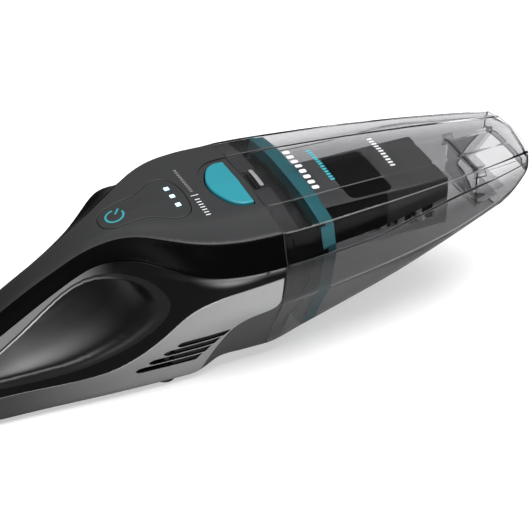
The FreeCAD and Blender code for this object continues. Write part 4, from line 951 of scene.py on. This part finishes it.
rear_rows = [whole_section(x) for x in rear_stations]
last = rear_rows[-1]
angle = np.arctan2(last[:, 1], last[:, 2] - SOCKET_Z)
hole = columns_of(np.full(len(last), -209.0), SOCKET_R * np.sin(angle), SOCKET_Z + SOCKET_R * np.cos(angle))
for t, x in ((0.35, -208.98), (0.8, -209.0)):
    row = last + (hole - last) * t
    row[:, 0] = x
    rear_rows.append(row)
rear_rows.append(hole)
for depth_in, radius in ((0.5, 3.8), (4.0, 3.6), (9.0, 3.4)):
    row = hole.copy()
    row[:, 0] += depth_in
    row[:, 1] *= radius / SOCKET_R
    row[:, 2] = SOCKET_Z + (row[:, 2] - SOCKET_Z) * radius / SOCKET_R
    rear_rows.append(row)
rear_grid = np.array(rear_rows)
inner_row = whole_section(PANEL_REAR)
centre_point = np.array([inner_row[:, 0].mean() + 1.0, 0, 20.0])
shell_row = centre_point + (inner_row - centre_point) * 0.82
shell_row[:, 0] = PANEL_REAR + SEAM_X
count = rear_grid.shape[1]
rear_points = np.vstack([rear_grid.reshape(-1, 3), shell_row])
shell_first = len(rear_grid) * count
rear_faces = (grid_faces(len(rear_grid), count) + ring_faces(shell_first, 0, count)
              + ring_faces(shell_first - count, shell_first, count))
rear_end = new_mesh("rear_end", rear_points, flipped(rear_faces), GLOSS)
finish_piece(rear_end, "housing", None)

# ---- Dust container ----

BIN_WALL = 2.0
BIN_START = 0.3
MOUTH_Z = 95.2
MOUTH_SLOPE = (189 - 164.5) / (95.2 - 67)


def nose_station(y, z):
    """Where the container ends: a shallow arc across, square above the mouth and slanted back below it."""
    low = 1.2 * np.log1p(np.exp(np.clip((MOUTH_Z - z) / 1.2, -30, 30)))
    return 188.9 - 1.9 * (np.abs(y) / 27.5)**2 - MOUTH_SLOPE * low


half = SECTIONS.shape[1]
order = list(range(half)) + list(range(half - 2, 0, -1))
sides = [1] * half + [-1] * (half - 2)
ends = []
for p in range(half):
    gap_to_nose = STATIONS - nose_station(SECTIONS[:, p, 0], SECTIONS[:, p, 1])
    ahead_of = np.argmax(gap_to_nose > 0) if np.any(gap_to_nose > 0) else len(STATIONS) - 1
    low_g, high_g = gap_to_nose[ahead_of - 1], gap_to_nose[ahead_of]
    share = 0 if high_g == low_g else -low_g / (high_g - low_g)
    ends.append(STATIONS[ahead_of - 1] + GRID * np.clip(share, 0, 1))
ROWS = 120
bin_grid = np.zeros((ROWS, len(order), 3))
for j, (p, sign) in enumerate(zip(order, sides)):
    x = BIN_START + (ends[p] - BIN_START) * np.linspace(0, 1, ROWS)
    bin_grid[:, j] = columns_of(x + SEAM_X, -sign * np.interp(x, STATIONS, SECTIONS[:, p, 0]),
                                np.interp(x, STATIONS, SECTIONS[:, p, 1]))
bin_n = grid_normals(bin_grid)
if bin_n[ROWS // 2, 0, 2] < 0:
    bin_n = -bin_n
forward = unit(bin_grid[-1] - bin_grid[-2])
inner = bin_grid - bin_n * BIN_WALL
lip = (bin_grid[-1] + inner[-1]) / 2 + forward * 0.5
lip_out, lip_in = bin_grid[-1] * 0.8 + lip * 0.2 + forward * 0.25, inner[-1] * 0.8 + lip * 0.2 + forward * 0.25
rows = np.vstack([bin_grid, lip_out[None], lip[None], lip_in[None], inner[::-1]])
row_n = np.vstack([bin_n, (bin_n[-1] + forward)[None], forward[None], (forward - bin_n[-1])[None], -bin_n[::-1]])
columns = len(order)
faces = grid_faces(len(rows), columns) + ring_faces((len(rows) - 1) * columns, 0, columns)
points, normals = rows.reshape(-1, 3), unit(row_n.reshape(-1, 3))
# front wall above the mouth
wall_columns, wall_rows = 33, 9
edge_z = inner[-6, :half, 2]
edge_y = -inner[-6, :half, 1]
front_grid = []
for back in (0.0, -1.9):
    for v in np.linspace(0, 1, wall_rows):
        row = []
        for sx in np.linspace(-1, 1, wall_columns):
            # widest half width inside the wall at the mouth's edge, eased in along the roof's corner
            y_full = np.interp(-(MOUTH_Z + v * (110.5 - MOUTH_Z)), -edge_z, edge_y)
            y = sx * min(y_full, 27.0)
            roof = np.interp(abs(y), edge_y[:MARKS[T_B] + 4], edge_z[:MARKS[T_B] + 4]) - 0.05
            z = MOUTH_Z - 0.4 + v * (roof - MOUTH_Z + 0.4)
            row.append((nose_station(y, 120.0) - 0.15 + back + SEAM_X, y, z))
        front_grid.append(row)
front_grid = np.array(front_grid)
block = wall_rows * wall_columns
first = len(points)
front_faces = []
for layer in (0, 1):
    quads = grid_faces(wall_rows, wall_columns, False, first + layer * block)
    front_faces += quads if layer == 0 else flipped(quads)
rim_ids = (list(range(wall_columns)) + [r * wall_columns + wall_columns - 1 for r in range(1, wall_rows)]
           + [(wall_rows - 1) * wall_columns + i for i in range(wall_columns - 2, -1, -1)]
           + [r * wall_columns for r in range(wall_rows - 2, 0, -1)])
for i, j in zip(rim_ids, rim_ids[1:] + rim_ids[:1]):
    front_faces.append((first + i, first + j, first + block + j, first + block + i))
front_n = np.tile([1.0, 0, 0], (2 * block, 1))
front_n[block:] *= -1
points = np.vstack([points, front_grid.reshape(-1, 3)])
normals = np.vstack([normals, front_n])
faces = agreeing(faces, points, normals, columns * 3)
front_faces = agreeing(front_faces, points, normals, 5)
# painted shade: a dark rim round the front end, where the wall is seen on edge
rim_centre = bin_grid[-1] * 0.9 + inner[-1] * 0.1 + forward * 0.1
rim_out = bin_n[-1]
RIM_SIDES, RIM_RADIUS = 8, 0.42
rim_grid = np.array([rim_centre + RIM_RADIUS * (rim_out * math.cos(t) + forward * math.sin(t))
                     for t in np.linspace(0, 2 * math.pi, RIM_SIDES, endpoint=False)])
below_roof = [j for j in range(columns - 1) if max(bin_grid[-1, j:j + 2, 2]) < 106.5]
rim_faces = [(i * columns + j, (i + 1) % RIM_SIDES * columns + j, (i + 1) % RIM_SIDES * columns + j + 1,
              i * columns + j + 1) for i in range(RIM_SIDES) for j in below_roof]
for j, turn in ((below_roof[0], 1), (below_roof[-1] + 1, -1)):
    rim_faces.append(tuple(i * columns + j for i in range(RIM_SIDES))[::turn])
used = sorted({i for face in rim_faces for i in face})
place = {old: new for new, old in enumerate(used)}
mouth_painted_edge_shade = new_mesh("mouth_painted_edge_shade", rim_grid.reshape(-1, 3)[used],
                     [tuple(place[i] for i in face) for face in rim_faces], EDGE_SHADE_PAINT)
finish_piece(mouth_painted_edge_shade, "container", None)
bin_shell = new_mesh("container_shell", points, faces + front_faces, CLEAR, normals)
finish_piece(bin_shell, "container", "dust_container")

# ---- What shows through the container ----


def inset_skin(depth):
    """The outer surface moved inwards."""
    def surface(q):
        p, n = skin(q)
        return p - n * depth, n
    return surface


def flat_skin(z):
    """Level surface: q = (station, y)."""
    return lambda q: (columns_of(q[:, 0] + SEAM_X, q[:, 1], np.full(len(q), z)), np.tile([0.0, 0, 1], (len(q), 1)))


def upright(y):
    """Vertical surface that faces the right side: q = (station, height)."""
    return lambda q: (columns_of(q[:, 0] + SEAM_X, np.full(len(q), y), q[:, 1]), np.tile([0.0, -1, 0], (len(q), 1)))


NECK_FROM, NECK_TO, HOOK_GAP = 0.7, 11.6, 10.5
TRIM_FROM, TRIM_TO = 0.7, 29.5
for side, name in SIDES:
    x = np.linspace(NECK_FROM, NECK_TO, 12)
    low = columns_of(x[::-1], full_arc(x[::-1]) - 0.4)
    outline = np.vstack([across(NECK_TO, HOOK_GAP, full_arc(NECK_TO) - 0.4), low,
                         across(NECK_FROM, full_arc(NECK_FROM) - 0.4, HOOK_GAP),
                         columns_of(x, np.full(12, HOOK_GAP))])
    sleeve = panel("neck_sleeve_" + name, inset_skin(2.55), outline, [], NECK, depth=0.6, roll=0.25,
                   spacing=2.2, mirror=side)
    finish_piece(sleeve, "housing", "container_seal" if name == "right" else None)

for side, name in SIDES:
    x = np.linspace(TRIM_FROM, TRIM_TO, 26)
    outline = ribbon(x, arc_at_mark(x, T_B) + 0.6, arc_at_mark(x, T_C) - 0.3)
    trim = panel("container_trim_" + name, inset_skin(2.12), resample(outline, 1.2), [], BAND, depth=0.3, roll=0.1,
                 spacing=2.2, mirror=side)
    finish_piece(trim, "container", None)
    # Thin strips along the container's creases: the pale ridge and crown lines are painted highlights, the dark belt
    # and keel lines painted shade.
    for edge, mark_at, start, stop, width, look in (("ridge", T_B, 0.8, 150, 0.32, EDGE_HIGHLIGHT_PAINT),
                                                    ("crown", T_A, 0.8, 84, 0.18, EDGE_HIGHLIGHT_PAINT),
                                                    ("belt", T_C, 0.8, 186, 0.36, EDGE_SHADE_PAINT),
                                                    ("keel", T_K, 0.8, 158, 0.4, EDGE_SHADE_PAINT)):
        x = np.linspace(start, stop, 90)
        a = arc_at_mark(x, mark_at)
        outline = ribbon(x, a - width, a + width)
        strip = panel("edge_%s_%s" % (edge, name), skin, resample(outline, 1.6), [], look, depth=0.12,
                      spacing=3.0, lift=0.03, mirror=side)
        finish_piece(strip, "container", None)

gasket_rows = []
for x, depth in ((-0.12, 0.35), (0.24, 0.35), (0.24, 2.3), (-0.12, 2.3)):
    a = np.linspace(0, full_arc(0.0), 121)
    p, n = skin(columns_of(np.full(121, 0.0), a))
    p = p - n * [0, depth, depth]
    p[:, 0] = x + SEAM_X
    gasket_rows.append(np.vstack([p, p[1:-1][::-1] * MIRROR]))
gasket_grid = np.array(gasket_rows)
count = gasket_grid.shape[1]
gasket_faces = flipped(grid_faces(4, count) + ring_faces(3 * count, 0, count))
gasket = new_mesh("seam_gasket", gasket_grid.reshape(-1, 3), gasket_faces, RUBBER, smooth=False)
finish_piece(gasket, "housing", None)

LID_TOP = 103.1
lid_outline = box(36, 128.6, -26.8, 26.8, 2.5, 1.5)
lid_window = box(61.5, 91.5, -25.2, 25.2, 6, 1.2)
lid = panel("cage_lid", flat_skin(LID_TOP), lid_outline, [lid_window], LID, depth=0.7, roll=0.45,
            hole_gap=0.0, hole_roll=0.4, spacing=4)
finish_piece(lid, "filter", None)
inset_plate = panel("cage_window", flat_skin(LID_TOP - 0.45), shift(facing(lid_window), flat_skin(0), -0.3), [],
                    BAND, depth=0.25, roll=0.1, spacing=4)
finish_piece(inset_plate, "filter", None)


CAGE_SIDE = -27.5
for side, name in SIDES:
    for end, start, stop, low_start, low_stop, look in (("rear", 36.0, 86.0, 73.0, 79.3, BAND),
                                                        ("front", 86.4, 128.4, 79.3, 89.5, SHADE)):
        outline = rounded([(start, low_start, 1.2), (stop, low_stop, 1.2), (stop, 102.6, 1.2),
                           (start, 102.6, 1.2)], 2.0)
        plate = panel("cage_side_%s_%s" % (end, name), upright(CAGE_SIDE), outline, [], look, depth=0.5, roll=0.25,
                      spacing=5, mirror=side)
        finish_piece(plate, "filter", None)

# ---- Printed marks, all of them plain shapes ----


def marks(name, look, body, bars):
    """Thin bars printed on the outer surface: (station, y, width along the machine, length across, rounding)."""
    for i, (x, y, width, length, radius) in enumerate(bars):
        w, h = width / 2, length / 2
        piece = panel(name + "_%d" % i, skin, plan_loop(box(x - w, x + w, y - h, y + h, radius, 0.5)), [], look,
                      depth=0.1, spacing=1.2, lift=0.06)
        finish_piece(piece, body, None)


marks("battery_mark", PRINT, "housing", [(-37, y, 3.4, 0.7, 0.3) for y in np.linspace(-26.5, -9, 7)]
      + [(-37, -4.5, 5.4, 0.45, 0.2)])
marks("cell_mark", PRINT_DIM, "housing",
      [(-37, y, 1.7 if i % 2 else 2.4, 0.5, 0.2) for i, y in enumerate(np.linspace(0, 28, 19))])
marks("hook_window", PRINT_DIM, "container", [(6.7, 0, 2.6, 19.5, 1.0)])
marks("airflow_mark", PRINT, "container", [(37, y, 4.6, 3.6, 1.2) for y in np.linspace(-23, 21, 8)])
marks("stage_mark", PRINT_TEAL, "container", [(51, y, 3.0, 1.5, 0.6) for y in np.linspace(-18.5, 17.5, 13)])
marks("fill_mark", PRINT, "container", [(94, y, 3.4, 1.6, 0.5) for y in np.linspace(-17, 16.5, 11)])

SYMBOL_X, SYMBOL_R, STROKE, LEAN = -88.4, 5.6, 0.62, math.radians(50)


def polar(radius, angle):
    """Point round the power symbol."""
    return SYMBOL_X + radius * math.cos(angle), radius * math.sin(angle)


sweep = np.linspace(LEAN + math.radians(34), LEAN + math.radians(326), 60)
ring_loop = np.array([polar(SYMBOL_R + STROKE, t) for t in sweep]
                     + [polar(SYMBOL_R - STROKE, t) for t in sweep[::-1]])
tip, tail = np.array(polar(6.9, LEAN)), np.array(polar(1.2, LEAN))
wide = np.array([-math.sin(LEAN), math.cos(LEAN)]) * STROKE
stroke_loop = resample([tip + wide, tip - wide, tail - wide, tail + wide], 0.4)
for name, loop, stands in (("power_ring", ring_loop, "power_symbol"), ("power_stroke", stroke_loop, None)):
    piece = panel(name, skin, plan_loop(loop), [], SYMBOL, depth=0.1, spacing=0.8, lift=0.07)
    finish_piece(piece, "key", stands)

LOOKS = (
    (INNER, "fan_cover intake_grille diffuser motor_magnets motor_end_cap motor_cradle battery_holder board_posts "
            "power_switch charging_jack latch_bracket latch_lever filter_collar"),
    (STEEL, "housing_screws motor_can battery_tabs board_screws latch_pin button_spring motor_shaft flap_pin"),
    (RUBBER, "base_pads container_seal motor_mounts filter_seal"), (WHITE, "switch_plunger impeller"),
    (GLOSS, "housing_left housing_right"), (NECK, "bulkhead"), (CELL, "battery_cells"),
    (LEAD_RED, "battery_leads"), (LEAD_BLACK, "motor_leads"), (BOARD, "control_board"), (FOAM, "exhaust_foam"),
    (COPPER, "armature"), (LIGHT, "charge_lights"), (DUCT_CLEAR, "inlet_duct"), (FLAP_CLEAR, "inlet_flap"),
    (RING_TEAL, "filter_ring"), (CAGE, "filter_cage"), (PAPER, "pleated_filter"), (LOWER, "lower_cover"),
    (CLEAR, "dust_container"))
for look, nodes in LOOKS:
    for node in nodes.split():
        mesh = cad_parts[node].data
        mesh.materials.clear()
        mesh.materials.append(look)

# ---- Camera, light and floor ----

camera_data = bpy.data.cameras.new("camera")
camera = bpy.data.objects.new("camera", camera_data)
bpy.context.scene.collection.objects.link(camera)
bpy.context.scene.camera = camera
camera_data.lens = 159.1
camera_data.sensor_width = 36.0
camera_data.clip_end = 20.0
azimuth, elevation, tilt = (math.radians(v) for v in (-24.52, 34.86, 0.32))
ahead = Vector((-math.sin(azimuth) * math.cos(elevation), math.cos(azimuth) * math.cos(elevation),
                -math.sin(elevation)))
level = Vector((math.cos(azimuth), math.sin(azimuth), 0))
up = level.cross(ahead)
right = level * math.cos(tilt) + up * math.sin(tilt)
up = -level * math.sin(tilt) + up * math.cos(tilt)
camera.matrix_world = Matrix.Translation(Vector((-0.4799, -1.1249, 0.9122))) @ Matrix(
    (right, up, -ahead)).transposed().to_4x4()

world = bpy.data.worlds.new("world")
bpy.context.scene.world = world
world.use_nodes = True
world.node_tree.nodes["Background"].inputs["Color"].default_value = (1, 1, 1, 1)
world.node_tree.nodes["Background"].inputs["Strength"].default_value = 0.22
bpy.context.scene.view_settings.view_transform = "Standard"


def area_light(name, place, aim, size, power, size_y):
    """Soft box that points at a spot."""
    data = bpy.data.lights.new(name, "AREA")
    data.shape = "RECTANGLE"
    data.size, data.size_y, data.energy = size, size_y, power
    item = bpy.data.objects.new(name, data)
    bpy.context.scene.collection.objects.link(item)
    item.location = place
    item.rotation_euler = (Vector(aim) - Vector(place)).to_track_quat("-Z", "Y").to_euler()


area_light("overhead", (0.1, -0.55, 2.3), (0.1, -0.1, 0), 2.8, 118, size_y=1.6)
area_light("low_front", (-0.72, -1.25, 0.16), (-0.15, 0, 0.06), 0.7, 4, size_y=0.25)

floor_mesh = bpy.data.meshes.new("floor")
floor_mesh.from_pydata([(-4, -4, 0), (4, -4, 0), (4, 4, 0), (-4, 4, 0)], [], [(0, 1, 2, 3)])
floor = bpy.data.objects.new("floor", floor_mesh)
bpy.context.scene.collection.objects.link(floor)
floor_white = material("floor_white", (0.55, 0.55, 0.55), 0.8, specular=0.0, mottle=0.0, strength=0.5)
tree = floor_white.node_tree
calm = add(floor_white, "BsdfDiffuse", Color=(0.30, 0.30, 0.30, 1))
ray = add(floor_white, "LightPath")
mirrored = tree.nodes.new("ShaderNodeMath")
mirrored.operation = "SUBTRACT"
mirrored.use_clamp = True
choose = add(floor_white, "MixShader", mirrored.outputs["Value"], "Fac")
for source, socket in ((ray.outputs["Is Glossy Ray"], mirrored.inputs[0]),
                       (ray.outputs["Is Transmission Ray"], mirrored.inputs[1]),
                       (tree.nodes["Principled BSDF"].outputs["BSDF"], choose.inputs[1]),
                       (calm.outputs["BSDF"], choose.inputs[2]),
                       (choose.outputs["Shader"], tree.nodes["Material Output"].inputs["Surface"])):
    tree.links.new(source, socket)
floor_mesh.materials.append(floor_white)


def corners(bounds):
    """Plain numbers of a box."""
    return [[float(v) for v in corner] for corner in bounds]
